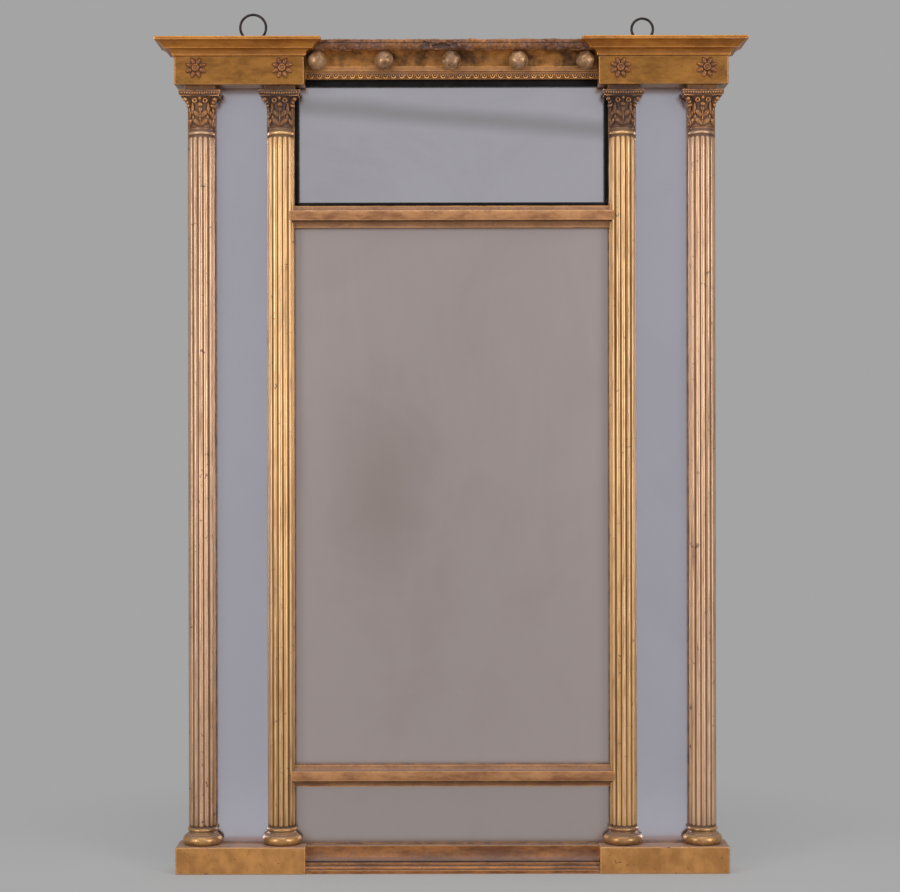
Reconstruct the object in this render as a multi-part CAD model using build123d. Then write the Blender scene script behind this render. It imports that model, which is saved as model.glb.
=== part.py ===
from build123d import *
import math
import os

# Giltwood pier mirror, in millimetres. X runs to the right, Y back into the wall, Z up.
# While it is built, heights run up from the underside and depths run out from the wall.
# At the end it all moves down, so that the origin lies in the middle of the back.

# Overall layout
block_centre = 265.6        # middle of each end block, out from the middle of the mirror
block_width = 162.5
column_spacing = 100.0      # between the two columns on one end block
plinth_height = 34.0
column_height = 954.0       # base, shaft and capital together
frieze_height = 35.8
block_depth = 50.0          # face of the frieze and plinth blocks, out from the wall

# Carcass
carcass_depth = 22.0
stile_width = 35.0
lip_thickness = 8.0         # wood left in front of the plates
plate_rebate = 7.0          # how far the plate rebate runs past the sight edge
board_rebate = 12.0         # how far the backboard rebate runs past the sight edge
board_thickness = 8.0
rail_height = 27.4          # cross rails
upper_rail_centre = 825.2
lower_rail_centre = 119.3
tenon_thickness = 5.0
tenon_length = 18.0
tenon_shoulder = 7.0        # wood left beside each tenon

# Silvered plates and the backing behind them
plate_thickness = 3.0
plate_gap = 1.5             # between a plate's edge and its rebate
board_gap = 0.5             # round each backboard
board_joint = 0.4           # between neighbouring backboards
board_count = 3             # boards behind the centre
key_width = 6.0             # small blocks that hold a plate's edge
key_length = 26.0
key_pitch = 260.0
nail_size = 2.2
nail_length = 19.0
nail_inset = 9.5            # nail line, past the sight edge
side_nail_rows = (0.12, 0.5, 0.88)  # heights up the side boards, as shares

# Columns
column_radius = 17.1
reed_count = 7
reed_radius = 3.5
reed_sides = 14
core_radius = 14.4
reed_foot_gap = 1.4         # plain core below the reeds
reed_head_gap = 2.0         # plain core between the reeds and the astragal
astragal_height = 4.6
neck_height = 3.3
base_radius = 25.0
torus_height = 12.7
base_fillet_radius = 20.4
base_fillet_height = 1.1
scotia_height = 3.2
scotia_hollow = 1.0         # how deep the scotia is cut behind the ring above it
ring_height = 4.3
ring_radius = 19.0
torus_facets = 4            # flat cuts that make up the turned half-rounds
bead_facets = 2

# Capitals
capital_height = 52.7
cap_height = 3.9            # plain piece between abacus and frieze
cap_reach = 19.0
bell_foot_radius = 13.6
bell_waist_radius = 14.6
bell_waist_drop = 15.5      # the bell starts to spread this far below its lip
bell_lip_radius = 20.5
bell_sides = 16
abacus_height = 9.3
abacus_half_width = 26.0
abacus_back_half_width = 22.5
abacus_reach = 25.5
abacus_corner_cut = 2.4
abacus_hollow = 3.2         # how far the middle of the front is cut back
abacus_flat = 20.0          # straight middle stretch of the hollow
abacus_step = 1.6           # the lower edge is cut back by this
abacus_step_height = 2.6
leaf_face = 16.4            # reach of a leaf's face at its foot
leaf_root = 9.0             # how far in the leaves are let into the bell
leaf_foot_share = 0.8       # width at the foot against the widest
leaf_neck_share = 0.66      # height at which a leaf starts to curl out
leaf_point_share = 0.25     # width of the point against the widest
leaf_lip_share = 0.17       # height of the curled tip
low_leaf_drop = 12.5        # the low leaves' tops, below the bell's lip
low_leaf_width = 17.0
low_leaf_tip = 22.0
low_leaf_angles = (-64.0, 0.0, 64.0)
tall_leaf_drop = 0.5
tall_leaf_width = 11.0
tall_leaf_tip = 28.5
tall_leaf_angles = (-43.0, 43.0)

# Rosettes on the frieze blocks
rosette_inset = 27.25       # in from each end of the block
rosette_rise = 2.8          # above the middle of the frieze
petal_count = 8
petal_start = 2.5           # reaches out from the middle of the rosette
petal_belly = 9.6
petal_tip = 13.7
petal_foot_width = 1.6
petal_width = 5.6
petal_height = 3.0
petal_slope = 28.0          # degrees that the petals' sides lean in
button_radius = 4.7
button_height = 5.2
button_sides = 12
button_head_radius = 3.4

# Cornice of the end blocks: reach out from the block, height up from the frieze
cornice_height = 20.8
cornice_reach = 22.0
cornice_fillet = 4.1
cornice_cove_reach = 7.5
cornice_cove_height = 5.8
cornice_drip_reach = 15.8
cornice_drip_height = 6.4
cornice_swell = 0.12        # swell of the top member, as a share of its length

# Centre cornice, recessed between the blocks: reach out from the carcass
leaf_border_height = 8.9
leaf_border_foot = 2.5
leaf_border_reach = 7.0
leaf_border_swell = 0.1
border_fillet_height = 5.4
border_fillet_reach = 8.5
hollow_height = 19.0
hollow_reach = 22.0
hollow_foot_setback = 1.0   # the hollow starts behind the border's fillet
centre_top_height = 12.5    # top moulding of the centre cornice
centre_top_foot = 23.5
centre_bead_reach = 27.0
centre_bead_swell = 0.16
centre_cornice_reach = 28.0
centre_fillet_height = 4.2
ball_radius = 12.0
ball_count = 5
ball_facets = 8             # flat cuts from pole to pole, and round the middle
ball_sides = 14
ball_end_gap = 3.55         # between the end balls and the end blocks
ball_reach = 15.5
ball_drop = 12.1            # ball centre below the top of the hollow

# Ebonised slip round the upper plate
slip_side = 5.6
slip_top = 8.5
slip_bottom = 5.0
slip_thickness = 6.0

# Moulded faces of the cross rails: reach out from the carcass
rail_band_reach = 12.0
rail_band_swell = 0.06      # swell of the band as a share of its height
rail_band_height = 12.4
rail_lower_height = 8.4     # hollow and quirk under the band
rail_quirk_height = 1.6
rail_quirk_reach = 5.5
rail_arris = 0.5            # flat edge over the hollow
rail_hollow_reach = 8.0
rail_edge_reach = 2.2
rail_edge_height = 1.3
rail_top_reach = 8.2
cope_gap = 0.1              # between the rail faces and the columns they meet

# Base moulding between the plinth blocks: reach out from the carcass
base_moulding_height = 33.0
base_foot_reach = 26.0
base_foot_height = 5.0
base_bead_reach = 24.0
base_bead_height = 8.4      # the bead and flat above the foot
base_flat_reach = 22.0
base_quirk_reach = 17.5
base_quirk_height = 2.0
base_hollow_foot = 20.5
base_hollow_height = 10.6
base_top_reach = 10.5

# Hanging rings and their plates
left_hanger_x = -252.0
right_hanger_x = 243.0
left_ring_radius = 16.4     # to the middle of the wire
right_ring_radius = 13.6
wire_radius = 1.6
wire_sides = 8              # the wire is forged in flats
ring_bends = 24             # straight lengths round one ring
eye_height = 28.0           # eye centre above the carcass
eye_bore_radius = 2.5
eye_width = 7.0
eye_sides = 12              # the strap's end is bent round in flats
strap_thickness = 1.6
strap_width = 14.0
strap_drop = 22.0           # length of the strap on the rail
strap_taper = 9.0           # height over which the strap narrows to the eye
screw_radius = 1.8
screw_head_radius = 3.5
screw_head_height = 1.6
screw_length = 16.0
screw_sides = 8
screw_heights = (6.5, 16.5)  # below the top of the carcass

# Softwood blocks glued behind the cornices
glue_leg = 15.0
glue_length = 32.0
glue_places = (-310.0, -215.0, -125.0, 0.0, 125.0, 215.0, 310.0)

# Levels and lines worked out from the sizes above
quarter = (1 - math.sqrt(0.5)) / math.sqrt(2)   # rise over chord of a quarter circle
block_inner = block_centre - block_width / 2
block_outer = block_centre + block_width / 2
inner_column = block_centre - column_spacing / 2
outer_column = block_centre + column_spacing / 2
centre_sight = inner_column - stile_width / 2
side_sight_inner = inner_column + stile_width / 2
side_sight_outer = outer_column - stile_width / 2
carcass_edge = outer_column + stile_width / 2
frieze_bottom = plinth_height + column_height
carcass_top = frieze_bottom + frieze_height
overall_top = carcass_top + cornice_height
base_height = torus_height + base_fillet_height + scotia_height + ring_height
shaft_head = frieze_bottom - capital_height
bell_height = capital_height - abacus_height - cap_height
bell_waist_height = bell_height - bell_waist_drop
low_leaf_height = bell_height - low_leaf_drop
tall_leaf_height = bell_height - tall_leaf_drop
rosette_reach = block_width / 2 - rosette_inset
ball_pitch = 2 * (block_inner - ball_end_gap - ball_radius) / (ball_count - 1)
plate_back = carcass_depth - lip_thickness - plate_thickness
plate_front = carcass_depth - lip_thickness
tenon_back = plate_front + (lip_thickness - tenon_thickness) / 2
tenon_front = tenon_back + tenon_thickness
eye_outer_radius = eye_bore_radius + strap_thickness
eye_level = carcass_top + eye_height

# Centre cornice levels, stacked up to the top
hollow_top = overall_top - centre_top_height
hollow_bottom = hollow_top - hollow_height
border_shoulder = hollow_bottom - border_fillet_height
centre_opening_top = border_shoulder - leaf_border_height

parts = {}


def outline(points):
    """A closed face from points of (across, up) or (across, up, bow). The bow is how far the
    line that arrives there swells to its left, as a share of its length; below zero, to its right."""
    edges = []
    for start, end in zip(points, points[1:] + points[:1]):
        first = Vector(start[0], start[1])
        last = Vector(end[0], end[1])
        if len(end) == 3:
            run = last - first
            swell = Vector(-run.Y, run.X) * end[2]
            edges.append(ThreePointArc(first, (first + last) / 2 + swell, last))
        else:
            edges.append(Line(first, last))
    return make_face(edges)


def block(left, right, back, front, bottom, top):
    """A rectangular piece. back and front are depths out from the wall."""
    middle = Pos((left + right) / 2, -(back + front) / 2, (bottom + top) / 2)
    return middle * Box(right - left, front - back, top - bottom)


def moulding(points, left, right):
    """A straight run along X of an outline of (depth, height) points."""
    plane = Plane(origin=(right, 0, 0), x_dir=(0, -1, 0), z_dir=(-1, 0, 0))
    return extrude(plane * outline(points), right - left)


def panel(points, back, front):
    """An outline of (X, height) points, seen from the room, between two depths."""
    return extrude(Plane.XZ.offset(back) * outline(points), front - back)


def slab(points, bottom, top):
    """An outline of (X, depth) points, seen from above, between two heights."""
    plane = Plane(origin=(0, 0, top), x_dir=(1, 0, 0), z_dir=(0, 0, -1))
    return extrude(plane * outline(points), top - bottom)


def half_turned(points):
    """An outline of (radius, height) points, turned, with the half that faces the room kept."""
    return Rot(0, 0, 180) * revolve(Plane.XZ * outline(points), Axis.Z, 180)


def half_round(seat, bottom, top, facets):
    """Points up a half-round that stands out past its seat, as (radius, height)."""
    middle = (bottom + top) / 2
    reach = (top - bottom) / 2
    points = []
    for index in range(facets + 1):
        turn = math.pi * (index / facets - 0.5)
        points.append((seat + reach * math.cos(turn), middle + reach * math.sin(turn)))
    return points


def joined(pieces):
    """One solid from pieces that meet or overlap."""
    whole = pieces[0]
    for piece in pieces[1:]:
        whole += piece
    return whole


def tapered(foot, head, height, sides):
    """A many-sided piece whose corners run from one radius at the foot to another at the head."""
    if head > foot:
        return Pos(0, 0, height) * Rot(180, 0, 0) * tapered(head, foot, height, sides)
    run = (foot - head) * math.cos(math.pi / sides)
    slope = math.degrees(math.atan2(run, height))
    return extrude(RegularPolygon(foot, sides), height, taper=slope)


def stacked(steps, sides):
    """Tapered pieces stood on one another, through (radius, height) steps."""
    pieces = []
    for (foot, bottom), (head, top) in zip(steps, steps[1:]):
        pieces.append(Pos(0, 0, bottom) * tapered(foot, head, top - bottom, sides))
    return joined(pieces)


def add(name, shape):
    parts[name] = shape


def add_pair(name, shape):
    """A piece of the right-hand side, and its mirror image on the left."""
    parts["right_" + name] = shape
    parts["left_" + name] = mirror(shape, about=Plane.YZ)


def rebate(left, right, bottom, top):
    """What is cut from the back of the frame round an opening: plate step, then board step."""
    plate_step = block(left - plate_rebate, right + plate_rebate, 0, plate_front,
                       bottom - plate_rebate, top + plate_rebate)
    board_step = block(left - board_rebate, right + board_rebate, 0, board_thickness,
                       bottom - board_rebate, top + board_rebate)
    return plate_step + board_step


# Compartments of the frame as (left, right, bottom, top) of the sight opening
centre_opening = (-centre_sight, centre_sight, plinth_height, centre_opening_top)
right_opening = (side_sight_inner, side_sight_outer, plinth_height, frieze_bottom)
left_opening = (-side_sight_outer, -side_sight_inner, plinth_height, frieze_bottom)
upper_rail_bottom = upper_rail_centre - rail_height / 2
upper_rail_top = upper_rail_centre + rail_height / 2
lower_rail_bottom = lower_rail_centre - rail_height / 2
lower_rail_top = lower_rail_centre + rail_height / 2


def rail_tenon(bottom, top):
    """Tenon of a long rail, and the mortise for it in the right-hand outer stile."""
    return block(side_sight_outer, side_sight_outer + tenon_length, tenon_back, tenon_front,
                 bottom + tenon_shoulder, top - tenon_shoulder)


def stile_tenon(bottom, top):
    """Tenon at one end of the right-hand inner stile, between two heights."""
    return block(centre_sight + tenon_shoulder, side_sight_inner - tenon_shoulder,
                 tenon_back, tenon_front, bottom, top)


def cross_tenon(centre):
    """Tenon of a cross rail in the right-hand inner stile."""
    half = rail_height / 2 - tenon_shoulder
    return block(centre_sight, centre_sight + tenon_length, tenon_back, tenon_front,
                 centre - half, centre + half)


def both_sides(shape):
    return shape + mirror(shape, about=Plane.YZ)


def hanger_recess(x):
    """Shallow housing in the back of the top rail for a hanger strap."""
    return block(x - strap_width / 2, x + strap_width / 2, 0, strap_thickness,
                 carcass_top - strap_drop, carcass_top)


def screws(x):
    """Where the two screws of one hanger plate lie: heads in the strap, shanks in the rail."""
    head = tapered(screw_head_radius, screw_radius, screw_head_height, screw_sides)
    shank = extrude(RegularPolygon(screw_radius, screw_sides), screw_length)
    screw = Rot(90, 0, 0) * (head + shank)
    return [Pos(x, 0, carcass_top - drop) * screw for drop in screw_heights]


def nail_places():
    """Where the backboards are nailed, as (X, height)."""
    places = []
    board_width = 2 * (centre_sight + board_rebate) / board_count
    rows = (plinth_height - nail_inset, centre_opening_top + nail_inset)
    for index in range(board_count):
        middle = (index - (board_count - 1) / 2) * board_width
        for row in rows:
            places.append((middle - board_width / 4, row))
            places.append((middle + board_width / 4, row))
        places.append((middle, lower_rail_centre))
        places.append((middle, upper_rail_centre))
    for share in side_nail_rows:
        level = plinth_height + share * column_height
        for x in (side_sight_inner - nail_inset, side_sight_outer + nail_inset):
            places.append((x, level))
            places.append((-x, level))
    return places


def nails():
    half = nail_size / 2
    return [block(x - half, x + half, 0, nail_length, z - half, z + half) for x, z in nail_places()]


def make_carcass():
    """Stiles and rails with their tenons, mortises and rebates."""
    rebates = [rebate(*centre_opening), rebate(*right_opening), rebate(*left_opening)]
    driven = nails()
    hanger_screws = screws(left_hanger_x) + screws(right_hanger_x)
    top_tenon = rail_tenon(frieze_bottom, carcass_top)
    bottom_tenon = rail_tenon(0, plinth_height)
    stile_head = stile_tenon(frieze_bottom, frieze_bottom + tenon_length)
    stile_foot = stile_tenon(plinth_height - tenon_length, plinth_height)
    upper_tenon = cross_tenon(upper_rail_centre)
    lower_tenon = cross_tenon(lower_rail_centre)

    outer_stile = block(side_sight_outer, carcass_edge, 0, carcass_depth, 0, carcass_top)
    outer_stile -= [rebates[1], top_tenon, bottom_tenon] + driven
    add_pair("outer_stile", outer_stile)

    inner_stile = block(centre_sight, side_sight_inner, 0, carcass_depth,
                        plinth_height, frieze_bottom)
    inner_stile -= [rebates[0], rebates[1], upper_tenon, lower_tenon] + driven
    inner_stile += [stile_head, stile_foot]
    add_pair("inner_stile", inner_stile)

    top_rail = block(-side_sight_outer, side_sight_outer, 0, carcass_depth,
                     frieze_bottom, carcass_top)
    notch = block(-centre_sight, centre_sight, 0, carcass_depth, frieze_bottom, centre_opening_top)
    recesses = [hanger_recess(left_hanger_x), hanger_recess(right_hanger_x)]
    top_rail -= rebates + [notch, both_sides(stile_head)] + recesses + hanger_screws + driven
    top_rail += both_sides(top_tenon)
    add("top_rail", top_rail)

    bottom_rail = block(-side_sight_outer, side_sight_outer, 0, carcass_depth, 0, plinth_height)
    bottom_rail -= rebates + [both_sides(stile_foot)] + driven
    bottom_rail += both_sides(bottom_tenon)
    add("bottom_rail", bottom_rail)

    for name, bottom, top, tenon in (("upper", upper_rail_bottom, upper_rail_top, upper_tenon),
                                     ("lower", lower_rail_bottom, lower_rail_top, lower_tenon)):
        face = block(-centre_sight, centre_sight, plate_front, carcass_depth, bottom, top)
        web = block(-centre_sight - plate_rebate, centre_sight + plate_rebate,
                    board_thickness, plate_front, bottom + plate_rebate, top - plate_rebate)
        rail = face + web + both_sides(tenon)
        rail -= driven
        add(name + "_cross_rail", rail)


def plate_areas():
    """Sight size of each silvered plate, as (left, right, bottom, top)."""
    return {
        "main_mirror_plate": (-centre_sight, centre_sight, lower_rail_top, upper_rail_bottom),
        "upper_mirror_plate": (-centre_sight, centre_sight, upper_rail_top, centre_opening_top),
        "lower_mirror_plate": (-centre_sight, centre_sight, plinth_height, lower_rail_bottom),
        "right_mirror_plate": right_opening,
        "left_mirror_plate": left_opening,
    }


def make_plates():
    for name, (left, right, bottom, top) in plate_areas().items():
        over = plate_rebate - plate_gap
        add(name, block(left - over, right + over, plate_back, plate_front,
                        bottom - over, top + over))


def make_backboards():
    driven = nails()
    over = board_rebate - board_gap
    left, right, bottom, top = right_opening
    side_board = block(left - over, right + over, 0, board_thickness, bottom - over, top + over)
    add_pair("side_backboard", side_board - driven)
    left, right, bottom, top = centre_opening
    pitch = (right - left + 2 * over) / board_count
    names = ("centre_left_backboard", "centre_backboard", "centre_right_backboard")
    for index, name in enumerate(names):
        start = left - over + index * pitch + board_joint / 2
        board = block(start, start + pitch - board_joint, 0, board_thickness,
                      bottom - over, top + over)
        add(name, board - driven)


def spaced(start, end, pitch):
    """Even places between two ends, at least two."""
    count = max(2, round((end - start) / pitch) + 1)
    step = (end - start) / (count - 1)
    return [start + index * step for index in range(count)]


def make_glue_blocks():
    """Softwood blocks behind each plate's edges, and in the angle behind the cornices."""
    pieces = []
    half = key_length / 2
    inset = key_length
    for left, right, bottom, top in plate_areas().values():
        for z in spaced(bottom + inset, top - inset, key_pitch):
            for wall, side in ((left - plate_rebate, 1), (right + plate_rebate, -1)):
                near, far = sorted((wall, wall + side * key_width))
                pieces.append(block(near, far, board_thickness, plate_back, z - half, z + half))
        if right - left < key_pitch:
            continue
        for x in spaced(left + 2 * inset, right - 2 * inset, key_pitch):
            for wall, side in ((bottom - plate_rebate, 1), (top + plate_rebate, -1)):
                near, far = sorted((wall, wall + side * key_width))
                pieces.append(block(x - half, x + half, board_thickness, plate_back, near, far))
    for x in glue_places:
        pieces.append(moulding([(carcass_depth, carcass_top),
                                (carcass_depth, carcass_top + glue_leg),
                                (carcass_depth - glue_leg, carcass_top)],
                               x - glue_length / 2, x + glue_length / 2))
    add("glue_blocks", Compound(pieces))


def make_column():
    """Half column with its base, one turning split down the middle: a plain core with an
    astragal, and round reeds laid round it. A sloping cut rounds off each reed's end."""
    torus_seat = base_radius - torus_height / 2
    ring_seat = ring_radius - ring_height / 2
    scotia_foot = torus_height + base_fillet_height
    scotia_head = scotia_foot + scotia_height
    length = shaft_head - plinth_height
    astragal_foot = length - neck_height - astragal_height
    profile = [(0, 0)]
    profile += half_round(torus_seat, 0, torus_height, torus_facets)
    profile += [(base_fillet_radius, torus_height), (base_fillet_radius, scotia_foot),
                (ring_seat - scotia_hollow, (scotia_foot + scotia_head) / 2)]
    profile += half_round(ring_seat, scotia_head, base_height, bead_facets)
    profile += [(core_radius, base_height)]
    profile += half_round(core_radius, astragal_foot, astragal_foot + astragal_height,
                          bead_facets)
    profile += [(core_radius, length), (0, length)]
    turning = half_turned(profile)
    reed_foot = base_height + reed_foot_gap
    reed_head = astragal_foot - reed_head_gap
    rod = extrude(RegularPolygon(reed_radius, reed_sides), length)
    rod &= panel([(-reed_radius, reed_foot), (reed_radius, reed_foot + 2 * reed_radius),
                  (reed_radius, reed_head - 2 * reed_radius), (-reed_radius, reed_head)],
                 -2 * reed_radius, 2 * reed_radius)
    reeds = []
    for index in range(reed_count):
        angle = -180 + (index + 0.5) * 180 / reed_count
        reeds.append(Rot(0, 0, angle) * Pos(column_radius - reed_radius, 0, 0) * rod)
    front_half = Pos(0, -base_radius, length / 2) * Box(4 * base_radius, 2 * base_radius, length)
    return (turning + reeds) & front_half


def leaf(angle, height, width, tip):
    """One carved leaf: its side view, curling out at the tip, cut to a pointed front view."""
    lip = height * leaf_lip_share
    neck = height * leaf_neck_share
    half = width / 2
    point = half * leaf_point_share
    side = moulding([(leaf_root, 0), (leaf_face, 0), (leaf_face, neck), (tip, height - lip),
                     (tip, height - lip / 2), (tip - lip, height), (leaf_root, height - lip)],
                    -half, half)
    blade = panel([(-half * leaf_foot_share, 0), (half * leaf_foot_share, 0), (half, neck),
                   (point, height), (-point, height), (-half, neck)], 0, 2 * tip)
    return Rot(0, 0, angle) * (side & blade)


def abacus_plan(inset):
    """Hollow-fronted slab with cut corners, as (X, reach) points."""
    wide = abacus_half_width - inset
    reach = abacus_reach - inset
    back = abacus_back_half_width - inset
    cut = abacus_corner_cut
    flat = abacus_flat / 2
    return [(-back, 0), (back, 0), (wide, reach - cut), (wide - cut, reach),
            (flat, reach - abacus_hollow), (-flat, reach - abacus_hollow),
            (cut - wide, reach), (-wide, reach - cut)]


def make_capital():
    """Bell, leaves, hollow-sided abacus and the plain piece that carries the frieze."""
    bell = stacked([(bell_foot_radius, 0), (bell_waist_radius, bell_waist_height),
                    (bell_lip_radius, bell_height)], bell_sides)
    leaves = [leaf(angle, low_leaf_height, low_leaf_width, low_leaf_tip)
              for angle in low_leaf_angles]
    leaves += [leaf(angle, tall_leaf_height, tall_leaf_width, tall_leaf_tip)
               for angle in tall_leaf_angles]
    step_top = bell_height + abacus_step_height
    abacus_top = bell_height + abacus_height
    lower = slab(abacus_plan(abacus_step), bell_height, step_top)
    upper = slab(abacus_plan(0), step_top, abacus_top)
    seat = block(-cap_reach, cap_reach, 0, cap_reach, abacus_top, capital_height)
    front_half = Pos(0, -abacus_reach, capital_height / 2) * Box(
        4 * abacus_reach, 2 * abacus_reach, capital_height)
    return joined([bell] + leaves + [lower, upper, seat]) & front_half


def make_columns():
    column = make_column()
    capital = make_capital()
    for side, sign in (("left", -1), ("right", 1)):
        for place, x in (("inner", inner_column), ("outer", outer_column)):
            name = side + "_" + place + "_"
            add(name + "column", Pos(sign * x, -carcass_depth, plinth_height) * column)
            add(name + "capital", Pos(sign * x, -carcass_depth, shaft_head) * capital)


def end_block(bottom, top):
    """A block in front of the carcass, with a cheek that runs back to the wall outside it."""
    front = block(block_inner, block_outer, carcass_depth, block_depth, bottom, top)
    cheek = block(carcass_edge, block_outer, 0, carcass_depth, bottom, top)
    return front + cheek


def make_rosette():
    """Eight narrow petals with sloping sides round a raised button."""
    foot = petal_foot_width / 2
    belly = petal_width / 2
    petal = extrude(outline([(petal_start, -foot), (petal_belly, -belly), (petal_tip, -foot),
                             (petal_tip, foot), (petal_belly, belly), (petal_start, foot)]),
                    petal_height, taper=petal_slope)
    pieces = [tapered(button_radius, button_head_radius, button_height, button_sides)]
    for index in range(petal_count):
        pieces.append(Rot(0, 0, 360 / petal_count * (index + 0.5)) * petal)
    return Rot(90, 0, 0) * joined(pieces)


def make_end_blocks():
    add_pair("plinth_block", end_block(0, plinth_height))
    add_pair("frieze_block", end_block(frieze_bottom, carcass_top))
    rosette = make_rosette()
    level = frieze_bottom + frieze_height / 2 + rosette_rise
    for side, sign in (("left", -1), ("right", 1)):
        for place, x in (("inner", block_centre - rosette_reach),
                         ("outer", block_centre + rosette_reach)):
            add(side + "_" + place + "_rosette", Pos(sign * x, -block_depth, level) * rosette)


def mitred_moulding(profile, left, right, front):
    """A moulding that returns round both sides of a block, cut where the runs meet at the mitres.
    The profile is (reach, height) or (reach, height, bow) points from the bottom up."""
    reaches = [point[0] for point in profile]
    right_side = [(right + point[0],) + point[1:] for point in profile]
    left_side = []
    for index in range(len(profile) - 1, -1, -1):
        bow = profile[index + 1][2:] if index + 1 < len(profile) else ()
        left_side.append((left - profile[index][0], profile[index][1]) + bow)
    front_side = [(front + point[0],) + point[1:] for point in profile]
    bottom, top = profile[0][1], profile[-1][1]
    face_view = panel(right_side + left_side, 0, front + max(reaches))
    side_view = moulding([(0, bottom)] + front_side + [(0, top)],
                         left - max(reaches), right + max(reaches))
    return face_view & side_view


def make_block_cornice():
    bottom = carcass_top
    profile = [(0, bottom),
               (cornice_cove_reach, bottom + cornice_cove_height, quarter),
               (cornice_drip_reach, bottom + cornice_drip_height),
               (cornice_reach, overall_top - cornice_fillet, cornice_swell),
               (cornice_reach, overall_top)]
    cornice = mitred_moulding(profile, block_inner, block_outer, block_depth)
    behind = block(block_inner, carcass_edge, 0, carcass_depth, bottom, overall_top)
    inner_return = block(block_inner - cornice_reach, block_inner, 0,
                         carcass_depth + centre_cornice_reach, bottom, overall_top)
    add_pair("block_cornice", cornice - [behind, inner_return])


def make_centre_cornice():
    """Leaf border, hollow, balls and top moulding, one above the other on the top rail."""
    back = carcass_depth
    border = moulding([(back, centre_opening_top),
                       (back + leaf_border_foot, centre_opening_top),
                       (back + leaf_border_reach, border_shoulder, -leaf_border_swell),
                       (back + border_fillet_reach, border_shoulder),
                       (back + border_fillet_reach, hollow_bottom),
                       (back, hollow_bottom)], -block_inner, block_inner)
    add("leaf_tip_border", border)
    hollow = moulding([(back, hollow_bottom),
                       (back + border_fillet_reach - hollow_foot_setback, hollow_bottom),
                       (back + hollow_reach, hollow_top, quarter),
                       (back, hollow_top)], -block_inner, block_inner)
    add("centre_hollow", hollow)
    shoulder = overall_top - centre_fillet_height
    top = moulding([(back, hollow_top),
                    (back + centre_top_foot, hollow_top),
                    (back + centre_bead_reach, shoulder, -centre_bead_swell),
                    (back + centre_cornice_reach, shoulder),
                    (back + centre_cornice_reach, overall_top),
                    (back, overall_top)], -block_inner, block_inner)
    add("centre_cornice_top", top)
    steps = half_round(0, -ball_radius, ball_radius, ball_facets)[1:-1]
    ball = stacked(steps, ball_sides)
    balls = []
    for index in range(ball_count):
        x = (index - (ball_count - 1) / 2) * ball_pitch
        place = Pos(x, -carcass_depth - ball_reach, hollow_top - ball_drop)
        balls.append(place * ball - [hollow, border, top])
    add("cornice_balls", Compound(balls))


def make_slip():
    """Four mitred strips round the upper plate, in front of the glass."""
    left, right, bottom, top = plate_areas()["upper_mirror_plate"]
    inner_left, inner_right = left + slip_side, right - slip_side
    inner_bottom, inner_top = bottom + slip_bottom, top - slip_top
    outlines = [
        [(left, top), (left, bottom), (inner_left, inner_bottom), (inner_left, inner_top)],
        [(right, bottom), (right, top), (inner_right, inner_top), (inner_right, inner_bottom)],
        [(left, bottom), (right, bottom), (inner_right, inner_bottom), (inner_left, inner_bottom)],
        [(right, top), (left, top), (inner_left, inner_top), (inner_right, inner_top)],
    ]
    strips = [panel(points, plate_front, plate_front + slip_thickness) for points in outlines]
    add("ebonised_slip", Compound(strips))


def rail_face(bottom):
    """Section of a cross rail's moulded face: edge, hollow, quirk, swelling band, top hollow."""
    back = carcass_depth
    hollow_top_level = bottom + rail_lower_height - rail_quirk_height
    band_foot = bottom + rail_lower_height
    band_head = band_foot + rail_band_height
    top = bottom + rail_height
    return [(back, bottom), (back + rail_edge_reach, bottom),
            (back + rail_edge_reach, bottom + rail_edge_height),
            (back + rail_hollow_reach, hollow_top_level - rail_arris, quarter),
            (back + rail_hollow_reach, hollow_top_level),
            (back + rail_quirk_reach, hollow_top_level), (back + rail_quirk_reach, band_foot),
            (back + rail_band_reach, band_foot),
            (back + rail_band_reach, band_head, -rail_band_swell),
            (back + rail_top_reach, band_head),
            (back + rail_edge_reach, top - rail_edge_height, quarter),
            (back + rail_edge_reach, top), (back, top)]


def make_rail_faces():
    """Moulded faces glued on the cross rails and scribed to the inner columns."""
    for name, bottom, top in (("upper", upper_rail_bottom, upper_rail_top),
                              ("lower", lower_rail_bottom, lower_rail_top)):
        run = moulding(rail_face(bottom), -inner_column, inner_column)
        cope = Rot(0, 0, 90) * Cylinder(column_radius + cope_gap, 2 * rail_height)
        for sign in (-1, 1):
            run -= Pos(sign * inner_column, -carcass_depth, (bottom + top) / 2) * cope
        add(name + "_rail_face", run)


def make_base_moulding():
    back = carcass_depth
    bead_top = base_foot_height + base_bead_height
    hollow_foot = bead_top + base_quirk_height
    hollow_head = hollow_foot + base_hollow_height
    flat = bead_top - base_bead_height / 2
    section = [(back, 0), (back + base_foot_reach, 0), (back + base_foot_reach, base_foot_height),
               (back + base_bead_reach, base_foot_height),
               (back + base_flat_reach, flat, -quarter),
               (back + base_flat_reach, bead_top), (back + base_quirk_reach, bead_top),
               (back + base_quirk_reach, hollow_foot), (back + base_hollow_foot, hollow_foot),
               (back + base_top_reach, hollow_head, quarter),
               (back + base_top_reach, base_moulding_height), (back, base_moulding_height)]
    add("base_moulding", moulding(section, -block_inner, block_inner))


def forged_ring(radius):
    """Iron bar bent up in short straight lengths, each cut at half the angle of the bend."""
    slope = math.tan(math.radians(180 / ring_bends))
    reach = radius + 2 * wire_radius
    bar = extrude(RegularPolygon(wire_radius, wire_sides), 2 * reach * slope, both=True)
    wedge = panel([(0, 0), (reach, -reach * slope), (reach, reach * slope)],
                  -2 * wire_radius, 2 * wire_radius)
    length = (Pos(radius, 0, 0) * bar) & wedge
    turn = 360 / ring_bends
    return joined([Rot(0, turn * index, 0) * length for index in range(ring_bends)])


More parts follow.
